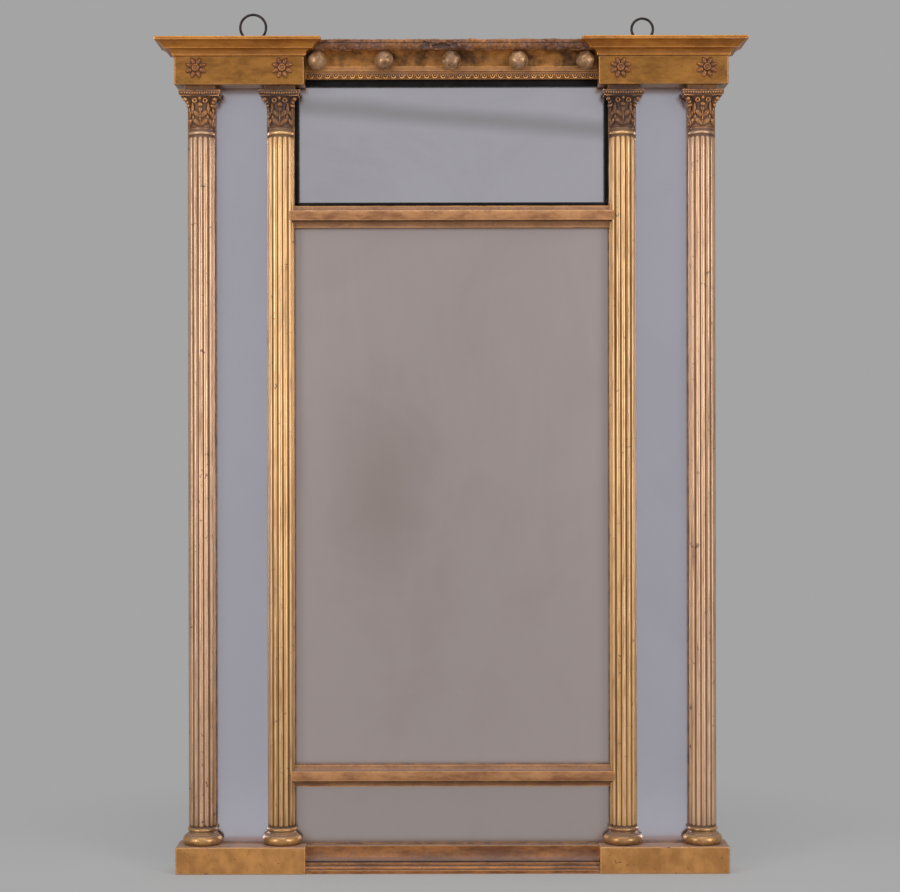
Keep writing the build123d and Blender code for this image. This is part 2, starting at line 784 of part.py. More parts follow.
def make_hanger(name, x, ring_mean_radius):
    """Iron strap with an eye at its top, the ring that swings in the eye, and its screws."""
    half = strap_width / 2
    neck = eye_width / 2
    foot = carcass_top - strap_drop
    eye_axis = Pos(x, -eye_outer_radius, eye_level) * Rot(0, 90, 0)
    strap = panel([(x - half, foot), (x + half, foot), (x + half, carcass_top),
                   (x + neck, carcass_top + strap_taper), (x + neck, eye_level),
                   (x - neck, eye_level), (x - neck, carcass_top + strap_taper),
                   (x - half, carcass_top)], 0, strap_thickness)
    eye = extrude(RegularPolygon(eye_outer_radius, eye_sides), eye_width / 2, both=True)
    bore = extrude(RegularPolygon(eye_bore_radius, eye_sides), eye_width, both=True)
    strap += eye_axis * eye
    strap -= [eye_axis * bore] + screws(x)
    add(name + "_hanger_plate", strap)
    ring = forged_ring(ring_mean_radius)
    add(name + "_hanging_ring", Pos(x, -eye_outer_radius, eye_level + ring_mean_radius) * ring)


def make_fasteners():
    add("hanger_screws", Compound(screws(left_hanger_x) + screws(right_hanger_x)))
    add("backboard_nails", Compound(nails()))


make_carcass()
make_plates()
make_backboards()
make_glue_blocks()
make_columns()
make_end_blocks()
make_block_cornice()
make_centre_cornice()
make_slip()
make_rail_faces()
make_base_moulding()
make_hanger("left", left_hanger_x, left_ring_radius)
make_hanger("right", right_hanger_x, right_ring_radius)
make_fasteners()

origin_height = (centre_opening[2] + centre_opening[3]) / 2
os.makedirs("parts", exist_ok=True)
for name, shape in parts.items():
    export_step(Pos(0, 0, -origin_height) * shape, "parts/" + name + ".step")
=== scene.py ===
import math

import bmesh
import bpy
import numpy
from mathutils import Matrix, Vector


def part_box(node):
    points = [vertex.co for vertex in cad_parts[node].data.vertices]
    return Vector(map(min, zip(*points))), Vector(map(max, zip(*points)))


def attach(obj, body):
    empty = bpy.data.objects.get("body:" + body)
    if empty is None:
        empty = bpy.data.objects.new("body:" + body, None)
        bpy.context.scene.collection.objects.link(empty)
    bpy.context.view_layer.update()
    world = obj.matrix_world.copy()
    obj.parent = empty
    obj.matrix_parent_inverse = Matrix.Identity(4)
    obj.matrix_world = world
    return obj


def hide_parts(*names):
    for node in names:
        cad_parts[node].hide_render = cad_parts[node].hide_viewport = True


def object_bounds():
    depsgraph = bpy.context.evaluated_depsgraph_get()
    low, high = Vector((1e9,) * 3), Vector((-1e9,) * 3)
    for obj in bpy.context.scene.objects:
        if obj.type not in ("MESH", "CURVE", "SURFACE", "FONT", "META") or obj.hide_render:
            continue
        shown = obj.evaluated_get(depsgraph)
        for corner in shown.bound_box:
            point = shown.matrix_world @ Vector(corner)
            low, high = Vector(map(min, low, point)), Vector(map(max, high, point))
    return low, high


bl_info = {
    "name": "Giltwood pier mirror",
    "version": (1, 0, 0),
    "blender": (4, 5, 0),
    "location": "3D View > Sidebar > Pier mirror",
    "description": "Carved, gilded and silvered pieces of a breakfront pier mirror, and its studio",
    "category": "Add Mesh",
}

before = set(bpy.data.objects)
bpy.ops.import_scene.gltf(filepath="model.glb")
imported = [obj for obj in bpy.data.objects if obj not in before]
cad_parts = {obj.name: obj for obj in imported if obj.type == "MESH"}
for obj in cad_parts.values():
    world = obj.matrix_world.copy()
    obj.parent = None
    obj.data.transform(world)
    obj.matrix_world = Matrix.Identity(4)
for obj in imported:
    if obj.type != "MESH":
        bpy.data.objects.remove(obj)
cad_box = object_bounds()
MM = 0.001


# Places taken from the frame

def corners(node):
    low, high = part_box(node)
    return Vector(low), Vector(high)


frieze_low, frieze_high = corners("right_frieze_block")
plinth_low, plinth_high = corners("right_plinth_block")
column_low, column_high = corners("right_inner_column")
outer_column_low, outer_column_high = corners("right_outer_column")
rail_low, rail_high = corners("top_rail")

block_inner = frieze_low.x
block_outer = frieze_high.x
block_depth = -frieze_low.y
carcass_depth = -rail_low.y
carcass_top = rail_high.z
overall_top = corners("right_block_cornice")[1].z
frieze_bottom = frieze_low.z
plinth_top = plinth_high.z
column_places = {
    "left_outer": -(outer_column_low.x + outer_column_high.x) / 2,
    "left_inner": -(column_low.x + column_high.x) / 2,
    "right_inner": (column_low.x + column_high.x) / 2,
    "right_outer": (outer_column_low.x + outer_column_high.x) / 2,
}
capital_foot = corners("right_inner_capital")[0].z


# Starting, choosing and shaping

def clear():
    """Object mode with nothing selected."""
    if bpy.context.mode != "OBJECT":
        bpy.ops.object.mode_set(mode="OBJECT")
    bpy.ops.object.select_all(action="DESELECT")


def only(piece):
    clear()
    piece.select_set(True)
    bpy.context.view_layer.objects.active = piece


def edit(piece):
    only(piece)
    bpy.ops.object.mode_set(mode="EDIT")


def keep_place(piece):
    """Moves an object's place, turn and size into its mesh."""
    only(piece)
    bpy.ops.object.transform_apply(location=True, rotation=True, scale=True)
    return piece


def start_box(low, high):
    clear()
    low, high = Vector(low), Vector(high)
    bpy.ops.mesh.primitive_cube_add(size=1, location=(low + high) / 2)
    piece = bpy.context.object
    piece.scale = high - low
    return keep_place(piece)


def start_sheet(low, high, height, across, deep):
    """A level grid between two (X, Y) corners."""
    clear()
    bpy.ops.mesh.primitive_grid_add(x_subdivisions=across, y_subdivisions=deep, size=1,
                                    location=((low[0] + high[0]) / 2,
                                              (low[1] + high[1]) / 2, height))
    piece = bpy.context.object
    piece.scale = (high[0] - low[0], high[1] - low[1], 1)
    return keep_place(piece)


def start_ball(middle, radius, segments=24, rings=12, stretch=(1, 1, 1)):
    clear()
    bpy.ops.mesh.primitive_uv_sphere_add(segments=segments, ring_count=rings, radius=radius,
                                         location=middle)
    piece = bpy.context.object
    piece.scale = stretch
    return keep_place(piece)


def start_ring(middle, turn, major, minor, around=48, section=12):
    clear()
    bpy.ops.mesh.primitive_torus_add(major_segments=around, minor_segments=section,
                                     major_radius=major, minor_radius=minor,
                                     location=middle, rotation=turn)
    return keep_place(bpy.context.object)


def pick(piece, kind, test):
    """In edit mode, selects the vertices, edges or faces whose middle (and normal) pass a test."""
    bpy.ops.mesh.select_mode(type=kind)
    bpy.ops.mesh.select_all(action="DESELECT")
    mesh = bmesh.from_edit_mesh(piece.data)
    mesh.normal_update()
    if kind == "VERT":
        for vert in mesh.verts:
            vert.select_set(test(vert.co))
    elif kind == "EDGE":
        for edge in mesh.edges:
            edge.select_set(test(*[vert.co for vert in edge.verts]))
    else:
        for face in mesh.faces:
            face.select_set(test(face.calc_center_median(), face.normal))
    mesh.select_flush_mode()
    bmesh.update_edit_mesh(piece.data)


def finish_modifier(piece, kind, **values):
    only(piece)
    modifier = piece.modifiers.new(kind.title(), kind)
    for name, value in values.items():
        setattr(modifier, name, value)
    bpy.ops.object.modifier_apply(modifier=modifier.name)


def close_up(piece):
    """Merges doubles and turns all faces outwards."""
    edit(piece)
    bpy.ops.mesh.select_all(action="SELECT")
    bpy.ops.mesh.remove_doubles(threshold=0.01 * MM)
    bpy.ops.mesh.normals_make_consistent(inside=False)
    bpy.ops.object.mode_set(mode="OBJECT")


def join(pieces):
    clear()
    for piece in pieces:
        piece.select_set(True)
    bpy.context.view_layer.objects.active = pieces[0]
    bpy.ops.object.join()
    return pieces[0]


def copied(piece, move=(0, 0, 0), turn=(0, 0, 0), scale=(1, 1, 1)):
    """A copy with its own mesh, moved and then kept in place."""
    copy = piece.copy()
    copy.data = piece.data.copy()
    bpy.context.collection.objects.link(copy)
    copy.rotation_euler = turn
    copy.location = move
    copy.scale = scale
    return keep_place(copy)


def remove(piece):
    only(piece)
    bpy.ops.object.delete()


def cut_box(piece, low, high):
    """Takes a box out of a piece."""
    cutter = start_box(low, high)
    finish_modifier(piece, "BOOLEAN", operation="DIFFERENCE", object=cutter, solver="EXACT")
    remove(cutter)


def fuse(piece, grain, smoothing):
    """Makes overlapping lumps into one carved skin."""
    only(piece)
    piece.data.remesh_voxel_size = grain
    bpy.ops.object.voxel_remesh()
    finish_modifier(piece, "SMOOTH", factor=0.5, iterations=smoothing)


def rough_up(piece, strength, size):
    """Small unevenness of hand work."""
    texture = bpy.data.textures.new("unevenness", "CLOUDS")
    texture.noise_scale = size
    texture.noise_depth = 2
    finish_modifier(piece, "DISPLACE", texture=texture, texture_coords="LOCAL",
                    strength=strength, mid_level=0.5)


def bowed(start, end, bow, runs):
    """Points along an arc that swells left of its chord by bow times the chord's length."""
    start, end = complex(*start), complex(*end)
    half = 2 * math.atan(2 * bow)
    points = []
    for index in range(1, runs + 1):
        reached = half * index / runs
        chord = (end - start) * math.sin(reached) / math.sin(half)
        lean = complex(math.cos(half - reached), math.sin(half - reached))
        point = start + chord * lean
        points.append((point.real, point.imag))
    return points


def drawn(points, grain=1.2 * MM, runs=8):
    """A profile of (across, up) or (across, up, bow) points, cut into short runs."""
    line = [points[0][:2]]
    for point in points[1:]:
        here = line[-1]
        if len(point) == 3:
            line += bowed(here, point[:2], point[2], runs)
            continue
        steps = max(1, round(math.dist(here, point) / grain))
        for index in range(1, steps + 1):
            share = index / steps
            line.append((here[0] + (point[0] - here[0]) * share,
                         here[1] + (point[1] - here[1]) * share))
    return line


def raised(piece, line, half_width, depth, centre, widen):
    """Extrudes the whole sheet up a profile of (reach, height). The sheet grows forward from its
    back, and sideways too where widen is true."""
    edit(piece)
    bpy.ops.mesh.select_mode(type="FACE")
    bpy.ops.mesh.select_all(action="SELECT")
    for (reach, height), (next_reach, next_height) in zip(line, line[1:]):
        bpy.ops.mesh.extrude_region_move(
            TRANSFORM_OT_translate={"value": (0, 0, next_height - height)})
        deep = (depth + next_reach) / (depth + reach)
        wide = (half_width + next_reach) / (half_width + reach) if widen else 1
        if abs(deep - 1) > 1e-9:
            bpy.ops.transform.resize(value=(wide, deep, 1), center_override=centre)
    bpy.ops.object.mode_set(mode="OBJECT")
    close_up(piece)
    return piece


def straight_moulding(left, right, points, cells):
    """A moulding along X that stands out from the carcass by its profile's reach."""
    least = 0.1 * MM
    line = [(max(reach, least), height) for reach, height in drawn(points)]
    piece = start_sheet((left, -carcass_depth - line[0][0]), (right, -carcass_depth), line[0][1],
                        cells, 2)
    return raised(piece, line, 0, 0, (0, -carcass_depth, 0), False)


def returned_moulding(left, right, depth, points, cells=24):
    """A moulding that runs round the front and both sides of a block against the wall."""
    line = drawn(points)
    reach = line[0][0]
    piece = start_sheet((left - reach, -depth - reach), (right + reach, 0), line[0][1], cells, 10)
    return raised(piece, line, (right - left) / 2, depth, ((left + right) / 2, 0, 0), True)


def turned(points):
    """A half turning: a profile of (radius, height) points, spun from its left side about a
    column's axis at X 0."""
    line = drawn(points, grain=1.0 * MM, runs=10)
    clear()
    first = (-line[0][0], -carcass_depth, line[0][1])
    bpy.ops.mesh.primitive_plane_add(size=MM, location=first)
    piece = keep_place(bpy.context.object)
    edit(piece)
    bpy.ops.mesh.select_all(action="SELECT")
    bpy.ops.mesh.merge(type="CENTER")
    bpy.ops.mesh.select_mode(type="VERT")
    bpy.ops.mesh.select_all(action="SELECT")
    for (radius, height), (next_radius, next_height) in zip(line, line[1:]):
        bpy.ops.mesh.extrude_region_move(
            TRANSFORM_OT_translate={"value": (radius - next_radius, 0, next_height - height)})
    bpy.ops.mesh.select_all(action="SELECT")
    bpy.ops.mesh.spin(steps=48, angle=math.pi, center=(0, -carcass_depth, 0), axis=(0, 0, -1))
    bpy.ops.mesh.select_all(action="SELECT")
    bpy.ops.mesh.remove_doubles(threshold=0.01 * MM)
    bpy.ops.mesh.select_all(action="DESELECT")
    bpy.ops.mesh.select_non_manifold()
    bpy.ops.mesh.edge_face_add()
    bpy.ops.object.mode_set(mode="OBJECT")
    close_up(piece)
    return piece


def trim_back(piece, depth):
    """Cuts off what lies behind a depth and closes the cut."""
    edit(piece)
    bpy.ops.mesh.select_all(action="SELECT")
    bpy.ops.mesh.bisect(plane_co=(0, -depth, 0), plane_no=(0, 1, 0), use_fill=True,
                        clear_outer=True)
    bpy.ops.object.mode_set(mode="OBJECT")


# Relief, wear and finish

def neighbour_mean(values, ends, count):
    """For each vertex, the mean of a value over the vertices it shares an edge with."""
    total = numpy.zeros_like(values)
    numpy.add.at(total, ends[:, 0], values[ends[:, 1]])
    numpy.add.at(total, ends[:, 1], values[ends[:, 0]])
    return total / (count[:, None] if values.ndim == 2 else count)


def vertex_rows(piece, name):
    """A vector of each vertex, such as its place or normal, as the rows of an array."""
    rows = numpy.empty(len(piece.data.vertices) * 3)
    piece.data.vertices.foreach_get(name, rows)
    return rows.reshape(-1, 3)


def write_relief(piece, values):
    attribute = piece.data.attributes.get("relief") or piece.data.attributes.new(
        "relief", "FLOAT", "POINT")
    attribute.data.foreach_set("value", numpy.clip(values, 0, 1).astype(numpy.float32))


def mark_relief(piece, gain, spread):
    """Writes how far each vertex stands out (towards 1) or lies in a hollow (towards 0)."""
    points = vertex_rows(piece, "co")
    normals = vertex_rows(piece, "normal")
    edges = piece.data.edges
    ends = numpy.empty(len(edges) * 2, dtype=numpy.int64)
    edges.foreach_get("vertices", ends)
    ends = ends.reshape(-1, 2)
    count = numpy.maximum(numpy.bincount(ends.ravel(), minlength=len(points)), 1).astype(float)
    span = numpy.linalg.norm(points[ends[:, 0]] - points[ends[:, 1]], axis=1)
    shortest = numpy.full(len(points), 1.0)
    numpy.minimum.at(shortest, ends[:, 0], span)
    numpy.minimum.at(shortest, ends[:, 1], span)
    bend = ((points - neighbour_mean(points, ends, count)) * normals).sum(axis=1)
    bend /= numpy.maximum(shortest, 0.3 * MM)
    for _ in range(spread):
        bend = 0.5 * bend + 0.5 * neighbour_mean(bend, ends, count)
    write_relief(piece, 0.5 + gain * bend)


def mark_reach(piece, axis, low, high):
    """For a shaft: relief from the distance to the column's axis."""
    points = vertex_rows(piece, "co")
    reach = numpy.hypot(points[:, 0] - axis[0], points[:, 1] - axis[1])
    write_relief(piece, 0.1 + 0.75 * (reach - low) / (high - low))


def work_over(piece, grain, smoothing, strength, size, gain, spread):
    """Makes a piece one skin, gives it the unevenness of hand work and records its relief."""
    fuse(piece, grain, smoothing)
    rough_up(piece, strength, size)
    mark_relief(piece, gain, spread)


def keep_inside(piece):
    """Presses whatever stands out past the frame's box flat against it."""
    points = numpy.clip(vertex_rows(piece, "co"), cad_box[0], cad_box[1])
    piece.data.vertices.foreach_set("co", points.ravel())
    piece.data.update()


def finish(piece, name, material, body="frame", smooth=50):
    """Smooths, names and paints a piece, and puts it on its body."""
    keep_inside(piece)
    only(piece)
    bpy.ops.object.shade_smooth_by_angle(angle=math.radians(smooth))
    piece.name = name
    piece.data.name = name
    piece.data.materials.clear()
    piece.data.materials.append(material)
    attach(piece, body)
    return piece


def dress(name, material):
    """Gives one of the frame's own solids a better material."""
    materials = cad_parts[name].data.materials
    materials.clear()
    materials.append(material)


# Shader building blocks

def add(tree, kind, **inputs):
    """A node with its inputs set to values or joined to other nodes' sockets. A name that starts
    with set_ is a setting of the node, and input0 is its first input."""
    node = tree.nodes.new(kind)
    for name, value in inputs.items():
        if name.startswith("set_"):
            setattr(node, name[4:], value)
    for name, value in inputs.items():
        if name.startswith("set_"):
            continue
        if name.startswith("input"):
            socket = node.inputs[int(name[5:])]
        else:
            socket = node.inputs[name.replace("_", " ")]
        if isinstance(value, bpy.types.NodeSocket):
            tree.links.new(value, socket)
        else:
            socket.default_value = value
    return node


def calc(tree, operation, first, second=0.0):
    return add(tree, "ShaderNodeMath", set_operation=operation, input0=first,
               input1=second).outputs[0]


def plus(tree, first, second):
    return calc(tree, "ADD", first, second)


def minus(tree, first, second):
    return calc(tree, "SUBTRACT", first, second)


def times(tree, first, second):
    return calc(tree, "MULTIPLY", first, second)


def limits(tree, value, low, high, to_low=0.0, to_high=1.0):
    """Eases a value from one range to another."""
    return add(tree, "ShaderNodeMapRange", set_interpolation_type="SMOOTHSTEP", Value=value,
               From_Min=low, From_Max=high, To_Min=to_low, To_Max=to_high).outputs["Result"]


def blend(tree, share, first, second):
    """Mixes two colours."""
    return add(tree, "ShaderNodeMix", set_data_type="RGBA", input0=share, input6=first,
               input7=second).outputs[2]


def noise(tree, place, scale, detail=4.0, roughness=0.55, warp=0.0):
    return add(tree, "ShaderNodeTexNoise", Vector=place, Scale=scale, Detail=detail,
               Roughness=roughness, Distortion=warp).outputs["Fac"]


def stretched(tree, scale, move=(0, 0, 0)):
    """Object coordinates, squeezed or stretched along each axis."""
    place = add(tree, "ShaderNodeTexCoord").outputs["Object"]
    return add(tree, "ShaderNodeMapping", Vector=place, Scale=scale, Location=move).outputs[0]


def paint(red, green, blue):
    """A screen colour (0 to 255) as the light value that renders as it."""
    def light(value):
        value /= 255
        return value / 12.92 if value <= 0.04045 else ((value + 0.055) / 1.055) ** 2.4
    return light(red), light(green), light(blue), 1.0


def new_group(name, inputs, outputs):
    tree = bpy.data.node_groups.new(name, "ShaderNodeTree")
    for label, kind, default in inputs:
        socket = tree.interface.new_socket(label, in_out="INPUT", socket_type=kind)
        socket.default_value = default
    for label, kind in outputs:
        tree.interface.new_socket(label, in_out="OUTPUT", socket_type=kind)
    return tree, tree.nodes.new("NodeGroupInput").outputs, tree.nodes.new("NodeGroupOutput").inputs


def new_material(name):
    material = bpy.data.materials.new(name)
    material.use_nodes = True
    tree = material.node_tree
    return material, tree, tree.nodes["Principled BSDF"]


def bumped(tree, shader, strength, distance, height):
    lift = add(tree, "ShaderNodeBump", Strength=strength, Distance=distance, Height=height)
    tree.links.new(lift.outputs[0], shader.inputs["Normal"])


COLOUR, VALUE = "NodeSocketColor", "NodeSocketFloat"


def build_worn_gilding():
    """Gold leaf over red bole and white gesso: rubbed through on what stands out, darkened in
    hollows by grime and by painted shade, lightened on ridges by painted highlight, patchy along
    and across."""
    tree, given, result = new_group(
        "worn gilding",
        [("Leaf", COLOUR, paint(214, 165, 92)), ("Shade leaf", COLOUR, paint(160, 104, 50)),
         ("Bole", COLOUR, paint(140, 72, 45)), ("Gesso", COLOUR, paint(228, 205, 175)),
         ("Grime", COLOUR, paint(62, 38, 22)), ("Ridge", COLOUR, paint(226, 178, 110)),
         ("Rubbing", VALUE, 0.5), ("Chips", VALUE, 0.5), ("Marks", VALUE, 0.5),
         ("Dirt", VALUE, 0.5), ("Along", VALUE, 1.0), ("Dust", VALUE, 0.5)],
        [("Colour", COLOUR), ("Roughness", VALUE), ("Metallic", VALUE), ("Height", VALUE)])
    place = add(tree, "ShaderNodeTexCoord").outputs["Object"]
    squeeze = add(tree, "ShaderNodeCombineXYZ", X=1.0, Y=1.0, Z=given["Along"]).outputs[0]
    drawn_out = add(tree, "ShaderNodeVectorMath", set_operation="MULTIPLY", input0=place,
                    input1=squeeze).outputs[0]
    relief = add(tree, "ShaderNodeAttribute", set_attribute_name="relief").outputs["Fac"]
    broad = noise(tree, drawn_out, 22.0, 3.0)
    middle = noise(tree, drawn_out, 95.0, 5.0, 0.6)
    fine = noise(tree, drawn_out, 420.0, 5.0, 0.65)
    specks = noise(tree, place, 260.0, 6.0, 0.7, 0.6)
    tone = plus(tree, times(tree, broad, 0.55), times(tree, middle, 0.45))
    tone = limits(tree, tone, 0.36, 0.64)
    colour = blend(tree, tone, given["Shade leaf"], given["Leaf"])
    # Painted highlight: proud ridges and reed crests are lightened towards the highlight colour,
    # standing in for the lamps' light on them.
    ridge_highlight = times(tree, limits(tree, relief, 0.6, 0.9), limits(tree, fine, 0.3, 0.6))
    colour = blend(tree, times(tree, ridge_highlight, 0.6), colour, given["Ridge"])
    proud = minus(tree, relief, 0.5)
    rub_start = plus(tree, times(tree, proud, 0.55), times(tree, middle, 1.0))
    rub_start = plus(tree, rub_start, times(tree, fine, 0.5))
    bare = limits(tree, rub_start, minus(tree, 1.35, given["Rubbing"]),
                  minus(tree, 1.62, given["Rubbing"]))
    colour = blend(tree, times(tree, bare, 0.8), colour, given["Bole"])
    chip_start = plus(tree, times(tree, proud, 0.5), times(tree, specks, 1.2))
    chipped = limits(tree, chip_start, minus(tree, 1.45, given["Chips"]),
                     minus(tree, 1.55, given["Chips"]))
    colour = blend(tree, chipped, colour, given["Gesso"])
    # Grime and painted shade: what lies in a hollow is darkened towards the grime colour, standing
    # in for the shade in crevices as well as old dirt.
    sunk = minus(tree, 0.5, relief)
    grime_and_shade_start = plus(tree, times(tree, sunk, 2.2), times(tree, middle, 0.6))
    grime_and_shade = limits(tree, grime_and_shade_start, minus(tree, 0.75, given["Dirt"]),
                   minus(tree, 1.5, given["Dirt"]))
    colour = blend(tree, times(tree, grime_and_shade, 0.85), colour, given["Grime"])
    knocks = noise(tree, place, 120.0, 4.0, 0.6, 1.2)
    marked = limits(tree, knocks, minus(tree, 0.92, times(tree, given["Marks"], 0.4)),
                    minus(tree, 0.98, times(tree, given["Marks"], 0.4)))
    colour = blend(tree, times(tree, marked, 0.75), colour, given["Grime"])
    facing = add(tree, "ShaderNodeNewGeometry").outputs["Normal"]
    upward = add(tree, "ShaderNodeSeparateXYZ", Vector=facing).outputs["Z"]
    dusty = times(tree, limits(tree, upward, 0.55, 0.95), given["Dust"])
    colour = blend(tree, dusty, colour, paint(128, 112, 108))
    # worn also takes in the painted shade of the hollows, for roughness and metallic.
    worn = calc(tree, "MAXIMUM", calc(tree, "MAXIMUM", bare, chipped),
                calc(tree, "MAXIMUM", grime_and_shade, dusty))
    rough = plus(tree, times(tree, worn, 0.3), times(tree, fine, 0.2))
    tree.links.new(colour, result["Colour"])
    tree.links.new(plus(tree, rough, 0.24), result["Roughness"])
    tree.links.new(limits(tree, worn, 0.0, 1.0, 0.55, 0.03), result["Metallic"])
    height = minus(tree, times(tree, middle, 0.5), times(tree, chipped, 0.35))
    height = plus(tree, height, times(tree, fine, 0.25))
    tree.links.new(height, result["Height"])
    return tree


worn_gilding = build_worn_gilding()


def gilding(name, along=1.0, rubbing=0.5, chips=0.5, dirt_and_shade=0.5, bump=0.35, dust=0.6, marks=0.6,
            **colours):
    """A gilded finish with its own colours, amounts of wear, amount of grime and painted shade in
    hollows, and a painted highlight colour for ridges.
    """
    material, tree, shader = new_material(name)
    group = tree.nodes.new("ShaderNodeGroup")
    group.node_tree = worn_gilding
    for label, amount in (("Along", along), ("Rubbing", rubbing), ("Chips", chips),
                          ("Dirt", dirt_and_shade), ("Dust", dust), ("Marks", marks)):
        group.inputs[label].default_value = amount
    for label, colour in colours.items():
        group.inputs[label.replace("_", " ").capitalize()].default_value = colour
    tree.links.new(group.outputs["Colour"], shader.inputs["Base Color"])
    tree.links.new(group.outputs["Roughness"], shader.inputs["Roughness"])
    tree.links.new(group.outputs["Metallic"], shader.inputs["Metallic"])
    bumped(tree, shader, strength=bump, distance=0.6 * MM, height=group.outputs["Height"])
    return material


def silvered(name, clear_colour, dull_colour, haze, smudge_at=None, painted_reflection=None):
    """Old mirror plate: silvering with cloudy patches, specks and faint wipe marks. A smudge lies
    round one place, and a painted reflection of a room edge slants across as a dull band, given as
    (slope, height at the middle, half width)."""
    material, tree, shader = new_material(name)
    place = stretched(tree, (1, 1, 1))
    wide = noise(tree, place, 5.0, 5.0, 0.6, 0.8)
    wipes = noise(tree, stretched(tree, (1.0, 1.0, 0.18)), 38.0, 4.0, 0.6, 1.5)
    specks = noise(tree, place, 520.0, 3.0, 0.6)
    cloud_and_reflection = times(tree, limits(tree, wide, 0.42, 0.72), 0.32)
    if smudge_at:
        apart = add(tree, "ShaderNodeVectorMath", set_operation="SUBTRACT", input0=place,
                    input1=smudge_at)
        squashed = add(tree, "ShaderNodeVectorMath", set_operation="MULTIPLY",
                       input0=apart.outputs[0], input1=(1.0, 1.0, 0.6))
        away = add(tree, "ShaderNodeVectorMath", set_operation="LENGTH", input0=squashed.outputs[0])
        ragged = plus(tree, away.outputs["Value"], times(tree, wide, 0.16))
        cloud_and_reflection = calc(tree, "MAXIMUM", cloud_and_reflection, limits(tree, ragged, 0.08, 0.2, 1.0, 0.0))
    # Painted reflection: a dull band slanting across the plate, standing in for a room edge
    # reflected in it.
    if painted_reflection:
        slope, level, half_width = painted_reflection
        lean = add(tree, "ShaderNodeVectorMath", set_operation="DOT_PRODUCT", input0=place,
                   input1=(-slope, 0.0, 1.0)).outputs["Value"]
        ragged = plus(tree, lean, times(tree, wide, 0.012))
        above = minus(tree, ragged, level)
        reflection_band = limits(tree, calc(tree, "ABSOLUTE", above), 0.0, half_width, 1.0, 0.0)
        cloud_and_reflection = calc(tree, "MAXIMUM", cloud_and_reflection, reflection_band)
    share = plus(tree, times(tree, cloud_and_reflection, 0.85), times(tree, wipes, 0.15))
    colour = blend(tree, share, clear_colour, dull_colour)
    dark = limits(tree, specks, 0.73, 0.78)
    colour = blend(tree, times(tree, dark, 0.5), colour, paint(90, 84, 80))
    tree.links.new(colour, shader.inputs["Base Color"])
    shader.inputs["Metallic"].default_value = 1.0
    tree.links.new(limits(tree, wipes, 0.2, 0.8, haze * 0.94, haze), shader.inputs["Roughness"])
    bumped(tree, shader, strength=0.01, distance=0.3 * MM, height=wipes)
    return material


def timber(name, pale, dark, along, dust=0.4, gilt_from=None):
    """Softwood with grain along one axis and old dust. What lies further out from the
    wall than gilt_from has dull old gilding on it."""
    material, tree, shader = new_material(name)
    grain_scale = [1.0, 1.0, 1.0]
    grain_scale["XYZ".index(along)] = 0.04
    grain = noise(tree, stretched(tree, grain_scale), 170.0, 6.0, 0.6, 0.4)
    bands = noise(tree, stretched(tree, grain_scale), 38.0, 3.0, 0.5, 0.8)
    patches = noise(tree, stretched(tree, (1, 1, 1)), 11.0, 4.0)
    share = plus(tree, times(tree, grain, 0.5), times(tree, bands, 0.5))
    colour = blend(tree, limits(tree, share, 0.36, 0.64), dark, pale)
    colour = blend(tree, times(tree, limits(tree, patches, 0.4, 0.75), dust), colour,
                   paint(104, 92, 78))
    if gilt_from:
        place = add(tree, "ShaderNodeTexCoord").outputs["Object"]
        inwards = add(tree, "ShaderNodeSeparateXYZ", Vector=place).outputs["Y"]
        depth = times(tree, inwards, -1.0)
        front = limits(tree, depth, gilt_from - 0.2 * MM, gilt_from + 0.2 * MM)
        spots = noise(tree, place, 60.0, 5.0, 0.6)
        gilt = blend(tree, limits(tree, spots, 0.35, 0.65), paint(92, 64, 48), paint(138, 100, 66))
        colour = blend(tree, front, colour, gilt)
        tree.links.new(times(tree, front, 0.25), shader.inputs["Metallic"])
    tree.links.new(colour, shader.inputs["Base Color"])
    tree.links.new(limits(tree, grain, 0.0, 1.0, 0.62, 0.88), shader.inputs["Roughness"])
    bumped(tree, shader, strength=0.4, distance=0.5 * MM, height=share)
    return material


def iron(name):
    material, tree, shader = new_material(name)
    patches = noise(tree, stretched(tree, (1, 1, 1)), 160.0, 6.0, 0.65)
    pits = noise(tree, stretched(tree, (1, 1, 1)), 900.0, 4.0)
    colour = blend(tree, limits(tree, patches, 0.4, 0.7), paint(34, 31, 31), paint(70, 54, 45))
    tree.links.new(colour, shader.inputs["Base Color"])
    shader.inputs["Metallic"].default_value = 0.75
    tree.links.new(limits(tree, patches, 0.3, 0.7, 0.42, 0.66), shader.inputs["Roughness"])
    bumped(tree, shader, strength=0.35, distance=0.2 * MM, height=pits)
    return material


def ebonised(name):
    material, tree, shader = new_material(name)
    streaks = noise(tree, stretched(tree, (0.2, 1, 0.2)), 300.0, 5.0, 0.6)
    worn = noise(tree, stretched(tree, (1, 1, 1)), 70.0, 5.0, 0.6)
    colour = blend(tree, limits(tree, worn, 0.55, 0.8), paint(12, 9, 10), paint(40, 30, 26))
    tree.links.new(colour, shader.inputs["Base Color"])
    tree.links.new(limits(tree, streaks, 0.3, 0.7, 0.3, 0.5), shader.inputs["Roughness"])
    shader.inputs["Specular IOR Level"].default_value = 0.14
    bumped(tree, shader, strength=0.15, distance=0.3 * MM, height=streaks)
    return material


# Settings that a user may change

